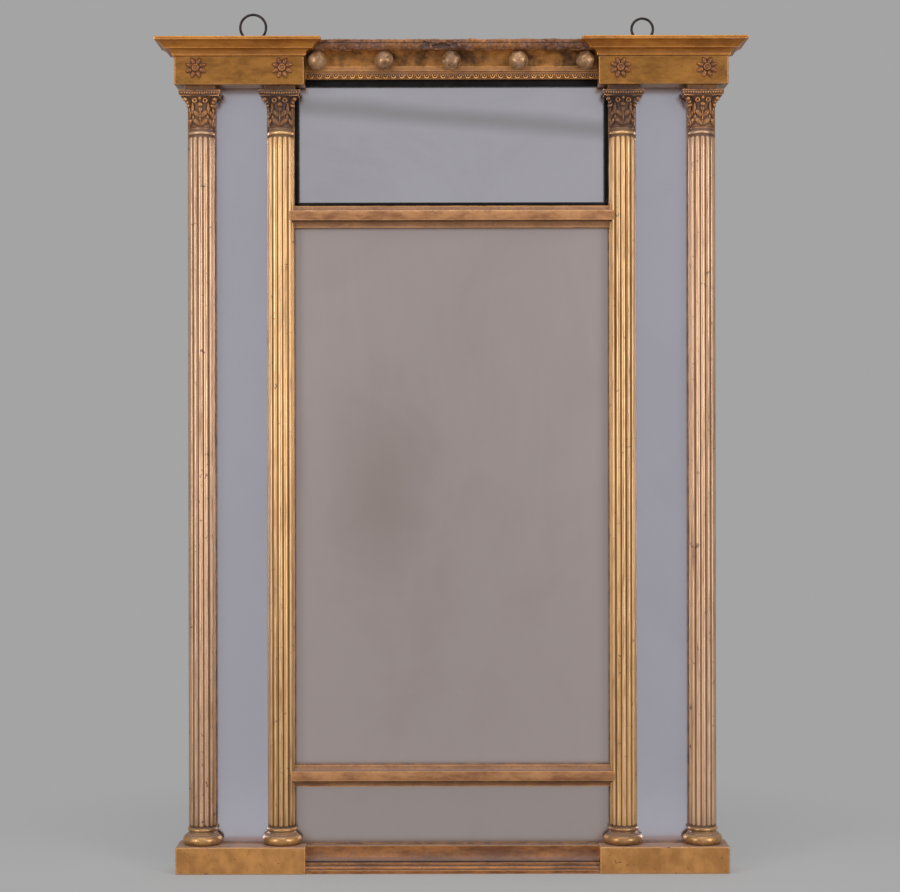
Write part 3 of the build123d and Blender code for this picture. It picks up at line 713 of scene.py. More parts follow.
class PierMirrorSettings(bpy.types.PropertyGroup):
    """Sizes of the turned and carved pieces, and the studio's colour and camera."""
    backdrop: bpy.props.FloatVectorProperty(
        name="Backdrop", description="Colour of the studio around the mirror", subtype="COLOR",
        size=4, min=0, max=1, default=paint(164, 164, 164))
    reed_radius: bpy.props.FloatProperty(
        name="Reed radius", description="Radius of one reed of a column", subtype="DISTANCE",
        unit="LENGTH", default=3.5 * MM)
    reed_count: bpy.props.IntProperty(
        name="Reeds", description="Reeds round one half column", default=7)
    column_radius: bpy.props.FloatProperty(
        name="Column radius", description="Radius over the reeds", subtype="DISTANCE",
        unit="LENGTH", default=17.1 * MM)
    border_pitch: bpy.props.FloatProperty(
        name="Leaf-tip pitch", description="Distance between leaf tips of the border",
        subtype="DISTANCE", unit="LENGTH", default=10.4 * MM)
    ball_radius: bpy.props.FloatProperty(
        name="Ball radius", description="Radius of the cornice balls", subtype="DISTANCE",
        unit="LENGTH", default=12.0 * MM)
    camera_distance: bpy.props.FloatProperty(
        name="Camera distance", description="From the wall to the camera", subtype="DISTANCE",
        unit="LENGTH", default=2.6)


def settings():
    return bpy.context.scene.pier_mirror


# Columns

def reed(radius, low, high):
    """One round-ended rod, standing on the origin's axis."""
    rod = start_ball((0, 0, low + radius), radius, 18, 9)
    edit(rod)
    pick(rod, "VERT", lambda place: place.z > low + radius)
    bpy.ops.transform.translate(value=(0, 0, high - low - 2 * radius))
    pick(rod, "EDGE", lambda first, last: abs(first.z - last.z) > 4 * radius)
    bpy.ops.mesh.subdivide(number_cuts=70)
    bpy.ops.object.mode_set(mode="OBJECT")
    return rod


def build_shaft():
    """Core and astragal at X 0, with the reeds laid round them."""
    given = settings()
    radius = given.column_radius
    reed_radius = given.reed_radius
    core = radius - 2.7 * MM
    foot = plinth_top + 21.3 * MM
    bead_high = capital_foot - 3.3 * MM
    bead_low = bead_high - 4.6 * MM
    profile = [(0, foot), (core, foot), (core, bead_low), (core, bead_high, -0.5),
               (core, capital_foot), (0, capital_foot)]
    pieces = [turned(profile)]
    mark_reach(pieces[0], (0, -carcass_depth), radius - 4.0 * MM, radius)
    rod = reed(reed_radius, foot + 1.2 * MM, bead_low - 1.6 * MM)
    for index in range(given.reed_count):
        angle = math.pi * (index + 0.5) / given.reed_count
        out = radius - reed_radius
        copy = copied(rod, (out * math.cos(angle), -carcass_depth - out * math.sin(angle), 0))
        rough_up(copy, strength=0.25 * MM, size=18 * MM)
        trim_back(copy, carcass_depth)
        # The reach relief gives the reeds a painted highlight on their crests and painted shade in
        # the valleys between them, through the gilding.
        mark_reach(copy, (0, -carcass_depth), radius - 3.0 * MM, radius)
        pieces.append(copy)
    remove(rod)
    return join(pieces)


def build_base():
    """Half base at X 0: torus, fillet, scotia and ring."""
    foot = plinth_top
    radius = (column_high.x - column_low.x) / 2
    torus = 12.7 * MM
    fillet = foot + torus + 1.1 * MM
    ring_low, ring_high = foot + 17.0 * MM, foot + 21.3 * MM
    profile = [(0, foot), (radius - torus / 2, foot), (radius - torus / 2, foot + torus, -0.5),
               (20.4 * MM, foot + torus), (20.4 * MM, fillet), (16.9 * MM, ring_low, 0.2),
               (16.9 * MM, ring_high, -0.5), (0, ring_high)]
    base = turned(profile)
    rough_up(base, strength=0.4 * MM, size=9 * MM)
    trim_back(base, carcass_depth)
    mark_relief(base, gain=2.0, spread=3)
    return base


class PIERMIRROR_OT_columns(bpy.types.Operator):
    """Four reeded half columns with turned bases"""
    bl_idname = "pier_mirror.columns"
    bl_label = "Columns"

    def execute(self, context):
        outer = gilding("outer shaft gilding", along=0.07, rubbing=0.46, chips=0.36, dirt_and_shade=0.8,
                        marks=0.72, Leaf=paint(190, 150, 116), Shade_leaf=paint(132, 94, 68),
                        Bole=paint(120, 78, 58), Gesso=paint(232, 206, 180),
                        Grime=paint(62, 36, 24), Ridge=paint(226, 194, 160))
        inner = gilding("inner shaft gilding", along=0.07, rubbing=0.42, chips=0.34, dirt_and_shade=0.8,
                        marks=0.7, Leaf=paint(198, 152, 100), Shade_leaf=paint(134, 94, 54),
                        Bole=paint(122, 80, 50), Gesso=paint(236, 210, 172),
                        Grime=paint(62, 38, 20), Ridge=paint(236, 200, 146))
        base_material = gilding("base gilding", rubbing=0.45, chips=0.36, dirt_and_shade=0.7,
                                Leaf=paint(176, 130, 80), Shade_leaf=paint(110, 76, 46),
                                Bole=paint(98, 66, 48), Gesso=paint(220, 200, 174))
        shaft = build_shaft()
        base = build_base()
        for place, x in column_places.items():
            piece = copied(shaft, (x, 0, 0))
            material = outer if "outer" in place else inner
            finish(piece, place + "_reeded_shaft", material)
            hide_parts(place + "_column")
            piece = copied(base, (x, 0, 0))
            finish(piece, place + "_turned_base", base_material)
            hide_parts(place + "_column")
        remove(shaft)
        remove(base)
        return {"FINISHED"}


# Capitals

def lump(across, reach, height, size, tilt=0.0):
    """One stroke of carving: an egg of half sizes (width, depth, height), tilted in the face."""
    egg = start_ball((0, 0, 0), 1, 14, 10, size)
    egg.rotation_euler = (0, tilt, 0)
    egg.location = (across, -reach, height)
    return keep_place(egg)


def carved_leaf(wall):
    """Leaf on the front of a bell of this radius: midrib, two pairs of lobes, curled tip."""
    strokes = [lump(0, wall, 15 * MM, (1.0 * MM, 2.0 * MM, 13 * MM)),
               lump(0, wall + 2.0 * MM, 29.5 * MM, (3.2 * MM, 2.4 * MM, 2.8 * MM)),
               lump(0, wall + 0.4 * MM, 25.0 * MM, (2.6 * MM, 1.8 * MM, 4.5 * MM))]
    for side in (-1, 1):
        for across, height, long, tilt in ((4.3, 7.6, 6.0, 48), (4.3, 17.8, 6.0, 46)):
            back = wall - 0.045 * across ** 2 * MM
            strokes.append(lump(side * across * MM, back + 0.5 * MM, height * MM,
                                (3.1 * MM, 2.4 * MM, long * MM), side * math.radians(tilt)))
    return join(strokes)


def build_capital():
    """Capital at X 0: bell, leaves, small scrolls, beaded hollow abacus and the piece above it."""
    foot = capital_foot
    top = frieze_bottom
    bell_top = foot + 39.5 * MM
    wall = 14.6 * MM
    profile = [(0, foot), (14.2 * MM, foot), (14.2 * MM, foot + 1.6 * MM), (wall, foot + 3 * MM),
               (wall, foot + 20 * MM, 0.02), (21.0 * MM, bell_top, 0.16), (0, bell_top)]
    pieces = [turned(profile)]
    centre = Vector((0, -carcass_depth, foot))
    front_leaf = carved_leaf(wall)
    for angle in (-74, 0, 74):
        pieces.append(copied(front_leaf, centre, (0, 0, math.radians(angle))))
    remove(front_leaf)
    for side in (-1, 1):
        for height, long, out in ((13, 6.0, 0.0), (25, 7.5, 1.4)):
            stroke = lump(0, wall + out * MM, height * MM, (2.0 * MM, 2.0 * MM, long * MM))
            pieces.append(copied(stroke, centre, (0, 0, side * math.radians(37))))
            remove(stroke)
        scroll = start_ring((side * 6.6 * MM, -carcass_depth - 18.6 * MM, foot + 34.5 * MM),
                            (math.radians(90), 0, 0), 2.1 * MM, 1.0 * MM, 16, 8)
        pieces.append(scroll)
        for out, height, size in ((20.6, 36.0, 3.0), (18.4, 32.5, 2.4), (16.6, 28.5, 2.0)):
            corner = lump(0, out * math.sqrt(1.55) * MM, height * MM,
                          (size * 0.9 * MM, size * MM, size * MM))
            pieces.append(copied(corner, centre, (0, 0, side * math.radians(46))))
            remove(corner)
    pieces.append(lump(0, carcass_depth + 19.8 * MM, foot + 37 * MM,
                       (2.2 * MM, 2.4 * MM, 2.2 * MM)))
    abacus_reach, abacus_half_width, abacus_hollow = 25.5 * MM, 26.0 * MM, 3.6 * MM
    for inset, low, high in ((1.8 * MM, bell_top, bell_top + 2.6 * MM),
                             (0, bell_top + 2.6 * MM, bell_top + 7.4 * MM)):
        reach = abacus_reach - inset
        wide = abacus_half_width - inset
        slab = start_box((-wide, -carcass_depth - reach, low), (wide, -carcass_depth, high))
        edit(slab)
        pick(slab, "FACE", lambda place, normal: True)
        bpy.ops.mesh.subdivide(number_cuts=9)
        for step in range(-5, 6):
            x = step * wide / 5
            pick(slab, "VERT", lambda place, x=x, reach=reach: abs(place.x - x) < 0.5 * MM
                 and place.y < -carcass_depth - reach + 0.5 * MM)
            bow = abacus_hollow * (1 - (step / 5) ** 2)
            bpy.ops.transform.translate(value=(0, bow, 0))
        bpy.ops.object.mode_set(mode="OBJECT")
        pieces.append(slab)
    for step in range(-7, 8):
        x = step * 3.1 * MM
        out = 25.6 * MM - abacus_hollow * (1 - (x / abacus_half_width) ** 2)
        pieces.append(start_ball((x, -carcass_depth - out, bell_top + 3.8 * MM), 1.2 * MM, 10, 6))
    pieces.append(start_box((-19 * MM, -carcass_depth - 19 * MM, bell_top + 7.2 * MM),
                            (19 * MM, -carcass_depth, top - 0.05 * MM)))
    capital = join(pieces)
    fuse(capital, grain=0.5 * MM, smoothing=1)
    rough_up(capital, strength=0.4 * MM, size=5 * MM)
    trim_back(capital, carcass_depth)
    mark_relief(capital, gain=2.4, spread=4)
    return capital


class PIERMIRROR_OT_capitals(bpy.types.Operator):
    """Four carved leaf capitals"""
    bl_idname = "pier_mirror.capitals"
    bl_label = "Capitals"

    def execute(self, context):
        outer = gilding("outer capital gilding", rubbing=0.42, chips=0.34, dirt_and_shade=1.05,
                        Leaf=paint(184, 126, 72), Shade_leaf=paint(132, 84, 44),
                        Grime=paint(54, 30, 16), Ridge=paint(226, 168, 106))
        inner = gilding("inner capital gilding", rubbing=0.44, chips=0.36, dirt_and_shade=1.1,
                        Leaf=paint(150, 98, 52), Shade_leaf=paint(90, 54, 28),
                        Grime=paint(40, 21, 12), Ridge=paint(206, 154, 104))
        model = build_capital()
        for place, x in column_places.items():
            piece = copied(model, (x, 0, 0))
            material = outer if "outer" in place else inner
            finish(piece, place + "_leaf_capital", material, smooth=70)
            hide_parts(place + "_capital")
        remove(model)
        return {"FINISHED"}


# Rosettes

def build_rosette():
    """Rosette at the origin, facing the room, with its flat back in the plane of Y 0."""
    petal = start_ball((0, 0, 0), 1 * MM, 20, 12, (5.3, 3.2, 3.0))
    petal.location = (8.7 * MM, 0, 0)
    keep_place(petal)
    pieces = []
    for index in range(8):
        pieces.append(copied(petal, (0, 0, 0), (0, math.radians(45 * index + 22.5), 0)))
    remove(petal)
    pieces.append(start_ring((0, -3.2 * MM, 0), (math.radians(90), 0, 0), 3.4 * MM, 1.5 * MM,
                             32, 10))
    pieces.append(start_ball((0, -1.4 * MM, 0), 3.4 * MM, 20, 10))
    clear()
    bpy.ops.mesh.primitive_cylinder_add(vertices=48, radius=10.6 * MM, depth=1.0 * MM,
                                        location=(0, -0.2 * MM, 0),
                                        rotation=(math.radians(90), 0, 0))
    pieces.append(keep_place(bpy.context.object))
    rosette = join(pieces)
    fuse(rosette, grain=0.4 * MM, smoothing=1)
    rough_up(rosette, strength=0.7 * MM, size=3 * MM)
    trim_back(rosette, 0)
    mark_relief(rosette, gain=2.0, spread=2)
    return rosette


class PIERMIRROR_OT_rosettes(bpy.types.Operator):
    """Four rosettes on the frieze blocks"""
    bl_idname = "pier_mirror.rosettes"
    bl_label = "Rosettes"

    def execute(self, context):
        material = gilding("rosette gilding", rubbing=0.42, chips=0.38, dirt_and_shade=0.95,
                           Leaf=paint(166, 104, 48), Shade_leaf=paint(104, 60, 28),
                           Grime=paint(40, 21, 11), Ridge=paint(222, 166, 100))
        model = build_rosette()
        for place in column_places:
            low, high = corners(place + "_rosette")
            middle = (low + high) / 2
            piece = copied(model, (middle.x, high.y, middle.z))
            finish(piece, place + "_carved_rosette", material, smooth=70)
            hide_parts(place + "_rosette")
        remove(model)
        return {"FINISHED"}


# End blocks and their cornices

def build_end_block(low, high):
    """A block in front of the carcass, with a cheek running back to the wall at its outer end."""
    edge = corners("right_outer_stile")[1].x
    piece = start_box((low.x, -block_depth, low.z), (high.x, -carcass_depth, high.z))
    edit(piece)
    bpy.ops.mesh.select_all(action="SELECT")
    bpy.ops.mesh.bisect(plane_co=(edge + 0.2 * MM, 0, 0), plane_no=(1, 0, 0))
    pick(piece, "FACE", lambda place, normal: normal.y > 0.9 and place.x > edge)
    bpy.ops.mesh.extrude_region_move(TRANSFORM_OT_translate={"value": (0, carcass_depth, 0)})
    bpy.ops.object.mode_set(mode="OBJECT")
    close_up(piece)
    finish_modifier(piece, "BEVEL", width=0.7 * MM, segments=2, limit_method="ANGLE")
    work_over(piece, grain=1.15 * MM, smoothing=2, strength=0.6 * MM, size=16 * MM,
              gain=3.0, spread=3)
    return piece


def mirrored(piece):
    """A copy on the other side of the middle."""
    copy = copied(piece, scale=(-1, 1, 1))
    close_up(copy)
    return copy


class PIERMIRROR_OT_end_blocks(bpy.types.Operator):
    """Frieze blocks above the columns and plinth blocks below them"""
    bl_idname = "pier_mirror.end_blocks"
    bl_label = "End blocks"

    def execute(self, context):
        frieze = gilding("frieze gilding", along=2.5, rubbing=0.45, chips=0.36, dirt_and_shade=0.42, bump=0.2,
                         Leaf=paint(156, 106, 44), Shade_leaf=paint(122, 78, 28), marks=0.66,
                         Bole=paint(112, 72, 58), Gesso=paint(206, 182, 150),
                         Ridge=paint(184, 134, 76))
        plinth = gilding("plinth gilding", along=0.7, rubbing=0.45, chips=0.38, dirt_and_shade=0.42, bump=0.2,
                         Leaf=paint(196, 140, 80), Shade_leaf=paint(160, 110, 60), marks=0.72,
                         Bole=paint(132, 88, 76), Ridge=paint(206, 160, 108))
        for name, low, high, material in (("frieze_block", frieze_low, frieze_high, frieze),
                                          ("plinth_block", plinth_low, plinth_high, plinth)):
            right = build_end_block(low, high)
            left = mirrored(right)
            for side, piece in (("right_", right), ("left_", left)):
                finish(piece, side + "gilt_" + name, material, smooth=60)
                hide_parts(side + name)
        return {"FINISHED"}


def build_block_cornice():
    """Right-hand cornice: fillet, deep cove, drip and swelling top, mitred round the block."""
    foot = carcass_top
    head = overall_top
    points = [(0, foot), (2.2 * MM, foot), (2.2 * MM, foot + 2.8 * MM),
              (9.0 * MM, foot + 7.8 * MM, 0.16),
              (11.4 * MM, foot + 7.8 * MM), (11.4 * MM, foot + 8.8 * MM),
              (20.6 * MM, head - 4.4 * MM, 0.08), (22.0 * MM, head - 4.0 * MM),
              (22.0 * MM, head - 0.6 * MM), (21.6 * MM, head)]
    piece = returned_moulding(block_inner, block_outer, block_depth, points)
    edge = corners("right_outer_stile")[1].x
    cut_box(piece, (block_inner, -carcass_depth, foot - MM), (edge, MM, head + MM))
    centre_reach = 28 * MM
    cut_box(piece, (block_inner - 30 * MM, -carcass_depth - centre_reach, foot - MM),
            (block_inner, MM, head + MM))
    work_over(piece, grain=1.0 * MM, smoothing=1, strength=0.5 * MM, size=18 * MM,
              gain=3.0, spread=2)
    return piece


class PIERMIRROR_OT_block_cornices(bpy.types.Operator):
    """Projecting cornices of the two end blocks"""
    bl_idname = "pier_mirror.block_cornices"
    bl_label = "Block cornices"

    def execute(self, context):
        material = gilding("cornice gilding", along=2.5, rubbing=0.4, chips=0.38, dirt_and_shade=0.55,
                           bump=0.25, Leaf=paint(184, 118, 44), Shade_leaf=paint(142, 84, 26),
                           Bole=paint(126, 78, 56), Gesso=paint(206, 178, 146),
                           Grime=paint(78, 42, 12), Ridge=paint(232, 168, 92))
        right = build_block_cornice()
        left = mirrored(right)
        for side, piece in (("right_", right), ("left_", left)):
            finish(piece, side + "gilt_cornice", material, smooth=35)
            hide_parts(side + "block_cornice")
        return {"FINISHED"}


# Centre cornice

def build_border(low, high):
    """Sloping bed and a row of leaf tips along it, with the plain fillet above."""
    points = [(2.5 * MM, low.z), (7.0 * MM, low.z + 8.9 * MM, -0.05), (8.5 * MM, low.z + 8.9 * MM),
              (8.5 * MM, high.z)]
    bed = straight_moulding(low.x, high.x, points, 40)
    tip = start_ring((0, 0, 0), (0, 0, 0), 3.3 * MM, 0.95 * MM, 20, 6)
    edit(tip)
    pick(tip, "VERT", lambda place: place.y < -0.5 * MM)
    bpy.ops.transform.translate(value=(0, -1.6 * MM, 0))
    bpy.ops.transform.resize(value=(0.8, 1, 1))
    bpy.ops.object.mode_set(mode="OBJECT")
    bud = start_ball((0, -0.9 * MM, 0.2 * MM), 1.1 * MM, 10, 6, (0.8, 1.6, 0.8))
    dart = start_ball((5.2 * MM, -0.6 * MM, 0.1 * MM), 0.7 * MM, 8, 6, (0.8, 4.2, 1.0))
    motif = join([tip, bud, dart])
    lean = math.radians(90 - 27)
    pitch = settings().border_pitch
    count = int((high.x - low.x) / pitch)
    start = -(count - 1) / 2 * pitch
    pieces = [bed]
    for index in range(count):
        pieces.append(copied(motif, (start + index * pitch, -carcass_depth - 5.4 * MM,
                                     low.z + 4.9 * MM), (lean, 0, 0)))
    remove(motif)
    border = join(pieces)
    work_over(border, grain=0.6 * MM, smoothing=0, strength=0.5 * MM, size=9 * MM,
              gain=2.2, spread=2)
    return border


def break_moulding(piece, middle):
    """Where a length of the moulding is lost: an oval hollow, and ragged ends beside it."""
    x, y, z = middle
    for away, size in ((0, (13.0, 6.0, 4.4)), (-19, (5.5, 3.4, 6.5)), (17, (4.0, 2.6, 5.0))):
        cutter = start_ball((0, 0, 0), 1 * MM, 24, 16, size)
        cutter.location = (x + away * MM, y, z)
        keep_place(cutter)
        finish_modifier(piece, "BOOLEAN", operation="DIFFERENCE", object=cutter, solver="EXACT")
        remove(cutter)


class PIERMIRROR_OT_centre_cornice(bpy.types.Operator):
    """Leaf-tip border, hollow and top moulding between the end blocks"""
    bl_idname = "pier_mirror.centre_cornice"
    bl_label = "Centre cornice"

    def execute(self, context):
        low, high = corners("leaf_tip_border")
        border = build_border(low, high)
        material = gilding("border gilding", rubbing=0.42, chips=0.38, dirt_and_shade=0.9,
                           Leaf=paint(212, 146, 80), Shade_leaf=paint(156, 102, 54),
                           Grime=paint(58, 34, 20))
        finish(border, "carved_leaf_tips", material, smooth=60)
        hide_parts("leaf_tip_border")

        low, high = corners("centre_hollow")
        points = [(7.5 * MM, low.z), (22 * MM, high.z, 0.2)]
        hollow = straight_moulding(low.x, high.x, points, 80)
        work_over(hollow, grain=1.0 * MM, smoothing=1, strength=0.8 * MM, size=20 * MM,
                  gain=3.0, spread=3)
        material = gilding("hollow gilding", along=1.0, rubbing=0.42, chips=0.3, dirt_and_shade=0.6,
                           Leaf=paint(184, 122, 56), Shade_leaf=paint(70, 42, 20))
        finish(hollow, "gilt_hollow", material, smooth=50)
        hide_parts("centre_hollow")

        low, high = corners("centre_cornice_top")
        shoulder = high.z - 4.2 * MM
        points = [(23.5 * MM, low.z), (27.0 * MM, shoulder, -0.16), (28.0 * MM, shoulder),
                  (28.0 * MM, high.z - 0.4 * MM), (27.6 * MM, high.z)]
        top = straight_moulding(low.x, high.x, points, 60)
        fuse(top, grain=0.9 * MM, smoothing=1)
        break_moulding(top, (-12.5 * MM, -50 * MM, high.z - 9.2 * MM))
        rough_up(top, strength=2.4 * MM, size=16 * MM)
        rough_up(top, strength=1.2 * MM, size=4 * MM)
        mark_relief(top, gain=2.0, spread=3)
        material = gilding("worn top gilding", along=1.0, rubbing=0.62, chips=0.42, dirt_and_shade=0.85,
                           Leaf=paint(162, 104, 54), Shade_leaf=paint(92, 56, 34),
                           Bole=paint(100, 64, 52), Gesso=paint(204, 166, 134),
                           Grime=paint(44, 28, 22), Ridge=paint(196, 140, 92), marks=0.8)
        finish(top, "gilt_cornice_top", material, smooth=50)
        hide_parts("centre_cornice_top")
        return {"FINISHED"}


class PIERMIRROR_OT_balls(bpy.types.Operator):
    """Five worn balls in the hollow of the centre cornice"""
    bl_idname = "pier_mirror.balls"
    bl_label = "Cornice balls"

    def execute(self, context):
        low, high = corners("cornice_balls")
        radius = settings().ball_radius
        material = gilding("ball gilding", rubbing=0.6, chips=0.56, dirt_and_shade=0.7, bump=0.7,
                           Leaf=paint(172, 132, 92), Shade_leaf=paint(104, 72, 50),
                           Bole=paint(92, 62, 52), Gesso=paint(228, 206, 172), marks=0.8)
        first, last = low.x + radius, high.x - radius
        ball_count, reach, drop = 5, 15.5 * MM, 24.6 * MM
        pieces = []
        for index in range(ball_count):
            x = first + (last - first) * index / (ball_count - 1)
            ball = start_ball((x, -carcass_depth - reach, overall_top - drop), radius, 48, 32)
            rough_up(ball, strength=2.0 * MM, size=8 * MM)
            mark_relief(ball, gain=3.0, spread=3)
            pieces.append(ball)
        balls = join(pieces)
        finish(balls, "worn_cornice_balls", material, smooth=70)
        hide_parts("cornice_balls")
        return {"FINISHED"}


# Rails, base moulding and slip

class PIERMIRROR_OT_rails(bpy.types.Operator):
    """Moulded faces of the two cross rails and the base moulding"""
    bl_idname = "pier_mirror.rails"
    bl_label = "Rails"

    def execute(self, context):
        material = gilding("rail gilding", along=3.0, rubbing=0.46, chips=0.34, dirt_and_shade=0.7,
                           Leaf=paint(192, 138, 92), Shade_leaf=paint(142, 94, 62),
                           Bole=paint(136, 86, 62), Gesso=paint(220, 190, 162))
        low_material = gilding("base moulding gilding", along=3.0, rubbing=0.52, chips=0.34,
                               dirt_and_shade=0.75, Leaf=paint(176, 114, 62), Shade_leaf=paint(112, 68, 38),
                               Bole=paint(116, 68, 50), Gesso=paint(212, 180, 152))
        reach = column_places["right_inner"] - 12 * MM
        for name in ("upper_rail_face", "lower_rail_face"):
            low, high = corners(name)
            foot, head = low.z, high.z
            points = [(2.2 * MM, foot), (2.2 * MM, foot + 1.3 * MM),
                      (8.0 * MM, foot + 6.4 * MM, 0.2), (8.0 * MM, foot + 6.8 * MM),
                      (5.5 * MM, foot + 6.8 * MM), (5.5 * MM, foot + 8.4 * MM),
                      (12.0 * MM, foot + 8.4 * MM), (12.0 * MM, foot + 20.8 * MM, -0.06),
                      (8.2 * MM, foot + 20.8 * MM), (2.2 * MM, head - 1.3 * MM, 0.2),
                      (2.2 * MM, head)]
            piece = straight_moulding(-reach, reach, points, 40)
            work_over(piece, grain=0.8 * MM, smoothing=1, strength=0.6 * MM, size=14 * MM,
                      gain=3.0, spread=2)
            finish(piece, name.replace("_face", "_moulding"), material, smooth=40)
            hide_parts(name)
        low, high = corners("base_moulding")
        foot = low.z
        points = [(26 * MM, foot), (26 * MM, foot + 5 * MM), (24 * MM, foot + 5 * MM),
                  (22 * MM, foot + 9.2 * MM, -0.2), (22 * MM, foot + 13.4 * MM),
                  (17.5 * MM, foot + 13.4 * MM), (17.5 * MM, foot + 15.4 * MM),
                  (20.5 * MM, foot + 15.4 * MM), (10.5 * MM, foot + 26 * MM, 0.2),
                  (10.5 * MM, high.z)]
        piece = straight_moulding(low.x, high.x, points, 40)
        work_over(piece, grain=0.8 * MM, smoothing=1, strength=0.8 * MM, size=14 * MM,
                  gain=3.0, spread=2)
        finish(piece, "gilt_base_moulding", low_material, smooth=40)
        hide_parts("base_moulding")
        return {"FINISHED"}


class PIERMIRROR_OT_slip(bpy.types.Operator):
    """Black slip round the upper plate"""
    bl_idname = "pier_mirror.slip"
    bl_label = "Ebonised slip"

    def execute(self, context):
        low, high = corners("ebonised_slip")
        side, top, bottom = 5.6 * MM, 8.5 * MM, 5.0 * MM
        strips = []
        for left, right, foot, head in (
                (low.x, low.x + side, low.z, high.z), (high.x - side, high.x, low.z, high.z),
                (low.x, high.x, low.z, low.z + bottom), (low.x, high.x, high.z - top, high.z)):
            strip = start_box((left, low.y, foot), (right, high.y, head))
            finish_modifier(strip, "BEVEL", width=1.6 * MM, segments=4, limit_method="ANGLE")
            strips.append(strip)
        slip = join(strips)
        finish(slip, "black_slip", ebonised("ebonised wood"), smooth=40)
        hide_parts("ebonised_slip")
        return {"FINISHED"}


# Hanging rings

class PIERMIRROR_OT_hangers(bpy.types.Operator):
    """Iron straps with their eyes and the rings that swing in them"""
    bl_idname = "pier_mirror.hangers"
    bl_label = "Hangers"

    def execute(self, context):
        material = iron("wrought iron")
        for side in ("left", "right"):
            low, high = corners(side + "_hanging_ring")
            middle = (low + high) / 2
            wire = (high.y - low.y) / 2
            ring = start_ring(middle, (math.radians(90), 0, 0), (high.x - low.x) / 2 - wire, wire,
                              96, 14)
            rough_up(ring, strength=0.25 * MM, size=4 * MM)
            finish(ring, side + "_round_ring", material, side + "_ring", 60)
            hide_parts(side + "_hanging_ring")
        for name in ("left_hanger_plate", "right_hanger_plate", "hanger_screws", "backboard_nails"):
            dress(name, material)
        return {"FINISHED"}


# Plates, carcass and backing: the frame's own solids with better finishes

class PIERMIRROR_OT_plates(bpy.types.Operator):
    """Silvered plates"""
    bl_idname = "pier_mirror.plates"
    bl_label = "Mirror plates"

    def execute(self, context):
        finishes = {
            "main_mirror_plate": silvered("main silvering", paint(213, 199, 196),
                                          paint(196, 179, 175), haze=0.3,
                                          smudge_at=(-0.09, -0.014, -0.05)),
            # The upper plate's slanting band is a painted reflection of a room edge.
            "upper_mirror_plate": silvered("upper silvering", paint(240, 238, 247),
                                           paint(204, 200, 205), haze=0.2,
                                           painted_reflection=(-0.083, 0.442, 0.022)),
            "lower_mirror_plate": silvered("lower silvering", paint(204, 192, 188),
                                           paint(190, 176, 172), haze=0.3),
            "left_mirror_plate": silvered("side silvering", paint(233, 231, 243),
                                          paint(216, 212, 224), haze=0.2),
        }
        finishes["right_mirror_plate"] = finishes["left_mirror_plate"]
        for name, material in finishes.items():
            dress(name, material)
        return {"FINISHED"}


class PIERMIRROR_OT_carcass(bpy.types.Operator):
    """Pine carcass, backboards and glue blocks"""
    bl_idname = "pier_mirror.carcass"
    bl_label = "Carcass"

    def execute(self, context):
        gilt_from = 13.5 * MM
        pale, dark = paint(196, 158, 112), paint(150, 112, 74)
        upright = timber("upright pine", pale, dark, "Z", gilt_from=gilt_from)
        level = timber("level pine", pale, dark, "X", gilt_from=gilt_from)
        glued = timber("glue block pine", pale, dark, "X")
        boards = timber("board pine", paint(178, 142, 102), paint(134, 100, 68), "Z", dust=0.6)
        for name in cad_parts:
            if "stile" in name:
                material = upright
            elif name in ("top_rail", "bottom_rail", "upper_cross_rail", "lower_cross_rail"):
                material = level
            elif name == "glue_blocks":
                material = glued
            elif "backboard" in name and "nails" not in name:
                material = boards
            else:
                continue
            dress(name, material)
        return {"FINISHED"}


# Studio

def shown_directly(tree):
    """1 for the camera and for what mirrors and glass show, 0 for light that bounces."""
    path = add(tree, "ShaderNodeLightPath").outputs
    seen = calc(tree, "MAXIMUM", path["Is Camera Ray"], path["Is Glossy Ray"])
    return calc(tree, "MAXIMUM", seen, path["Is Transmission Ray"])


def build_world(backdrop):
    world = bpy.data.worlds.new("studio")
    bpy.context.scene.world = world
    world.use_nodes = True
    tree = world.node_tree
    background = tree.nodes["Background"]
    colour = blend(tree, shown_directly(tree), (0.60, 0.60, 0.61, 1), backdrop)
    tree.links.new(colour, background.inputs["Color"])
    background.inputs["Strength"].default_value = 1.0


def build_floor(backdrop):
    """Pale floor that melts into the backdrop and keeps the soft shadow near the mirror."""
    floor = start_sheet((-4, -4), (4, 4), plinth_low.z, 8, 8)
    material, tree, shader = new_material("studio floor")
    shader.inputs["Roughness"].default_value = 0.9
    grain = noise(tree, stretched(tree, (1, 1, 1)), 3.0, 3.0)
    tree.links.new(blend(tree, grain, paint(166, 166, 166), paint(174, 174, 174)),
                   shader.inputs["Base Color"])
    plain = add(tree, "ShaderNodeEmission", Color=backdrop, Strength=1.0)
    place = add(tree, "ShaderNodeTexCoord").outputs["Object"]
    away = add(tree, "ShaderNodeVectorMath", set_operation="LENGTH", input0=place).outputs["Value"]
    share = limits(tree, away, 0.62, 1.0, 0.5, 1.0)
    share = times(tree, share, shown_directly(tree))
    both = add(tree, "ShaderNodeMixShader", Fac=share)
    tree.links.new(shader.outputs[0], both.inputs[1])
    tree.links.new(plain.outputs[0], both.inputs[2])
    tree.links.new(both.outputs[0], tree.nodes["Material Output"].inputs["Surface"])
    floor.name = "studio_floor"
    floor.data.materials.append(material)


def add_lamp(name, place, aim, wide, high, power):
    data = bpy.data.lights.new(name, "AREA")
    data.shape = "RECTANGLE"
    data.size = wide
    data.size_y = high
    data.energy = power
    lamp = bpy.data.objects.new(name, data)
    bpy.context.collection.objects.link(lamp)
    lamp.location = place
    lamp.rotation_euler = (Vector(aim) - Vector(place)).to_track_quat("-Z", "Y").to_euler()


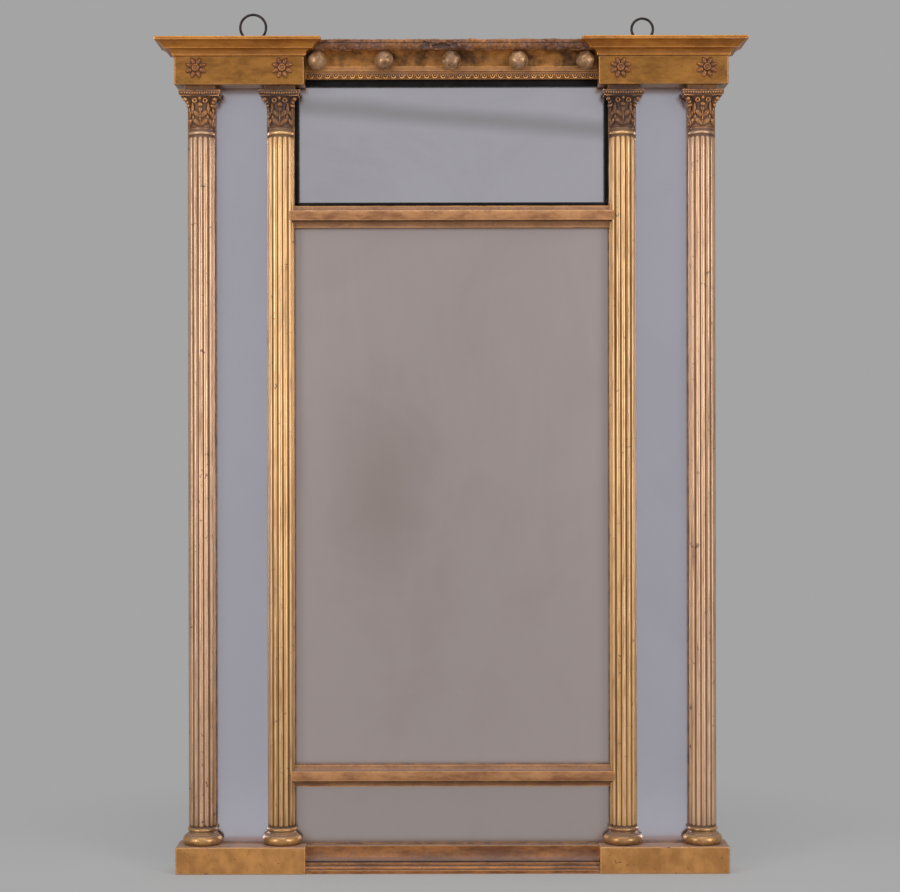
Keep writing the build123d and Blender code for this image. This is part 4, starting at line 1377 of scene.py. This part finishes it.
class PIERMIRROR_OT_studio(bpy.types.Operator):
    """Floor, soft lights and camera"""
    bl_idname = "pier_mirror.studio"
    bl_label = "Studio"

    def execute(self, context):
        given = settings()
        backdrop = tuple(given.backdrop)
        build_world(backdrop)
        build_floor(backdrop)
        for name, side in (("left softbox", -1), ("right softbox", 1)):
            add_lamp(name, place=(side * 1.75, -1.9, 0.35), aim=(0, 0, 0), wide=0.9, high=1.6,
                     power=34)
        add_lamp("top softbox", place=(0, -1.1, 1.7), aim=(0, 0, 0.3), wide=1.6, high=0.8,
                 power=14)
        film_width = 36
        width_in_view = 1.125
        face_distance = given.camera_distance - block_depth
        data = bpy.data.cameras.new("camera")
        data.sensor_width = film_width
        data.lens = film_width * face_distance / width_in_view
        camera = bpy.data.objects.new("camera", data)
        bpy.context.collection.objects.link(camera)
        camera.location = (-2.5 * MM, -given.camera_distance, 19.2 * MM)
        camera.rotation_euler = (math.radians(90), math.radians(0.1), 0)
        context.scene.camera = camera
        context.scene.view_settings.view_transform = "Standard"
        return {"FINISHED"}


class PIERMIRROR_PT_panel(bpy.types.Panel):
    """Everything that makes up the mirror and its studio"""
    bl_idname = "PIERMIRROR_PT_panel"
    bl_label = "Pier mirror"
    bl_space_type = "VIEW_3D"
    bl_region_type = "UI"
    bl_category = "Pier mirror"

    def draw(self, context):
        for name in PierMirrorSettings.__annotations__:
            self.layout.prop(settings(), name)
        for operator in operators:
            self.layout.operator(operator.bl_idname)


operators = (
    PIERMIRROR_OT_plates, PIERMIRROR_OT_carcass, PIERMIRROR_OT_columns, PIERMIRROR_OT_capitals,
    PIERMIRROR_OT_end_blocks, PIERMIRROR_OT_rosettes, PIERMIRROR_OT_block_cornices,
    PIERMIRROR_OT_centre_cornice, PIERMIRROR_OT_balls, PIERMIRROR_OT_rails, PIERMIRROR_OT_slip,
    PIERMIRROR_OT_hangers, PIERMIRROR_OT_studio,
)


def register():
    bpy.utils.register_class(PierMirrorSettings)
    for operator in operators:
        bpy.utils.register_class(operator)
    bpy.utils.register_class(PIERMIRROR_PT_panel)
    bpy.types.Scene.pier_mirror = bpy.props.PointerProperty(type=PierMirrorSettings)


def unregister():
    del bpy.types.Scene.pier_mirror
    bpy.utils.unregister_class(PIERMIRROR_PT_panel)
    for operator in reversed(operators):
        bpy.utils.unregister_class(operator)
    bpy.utils.unregister_class(PierMirrorSettings)


def main():
    register()
    for operator in operators:
        group, name = operator.bl_idname.split(".")
        getattr(getattr(bpy.ops, group), name)()


if __name__ == "__main__":
    main()
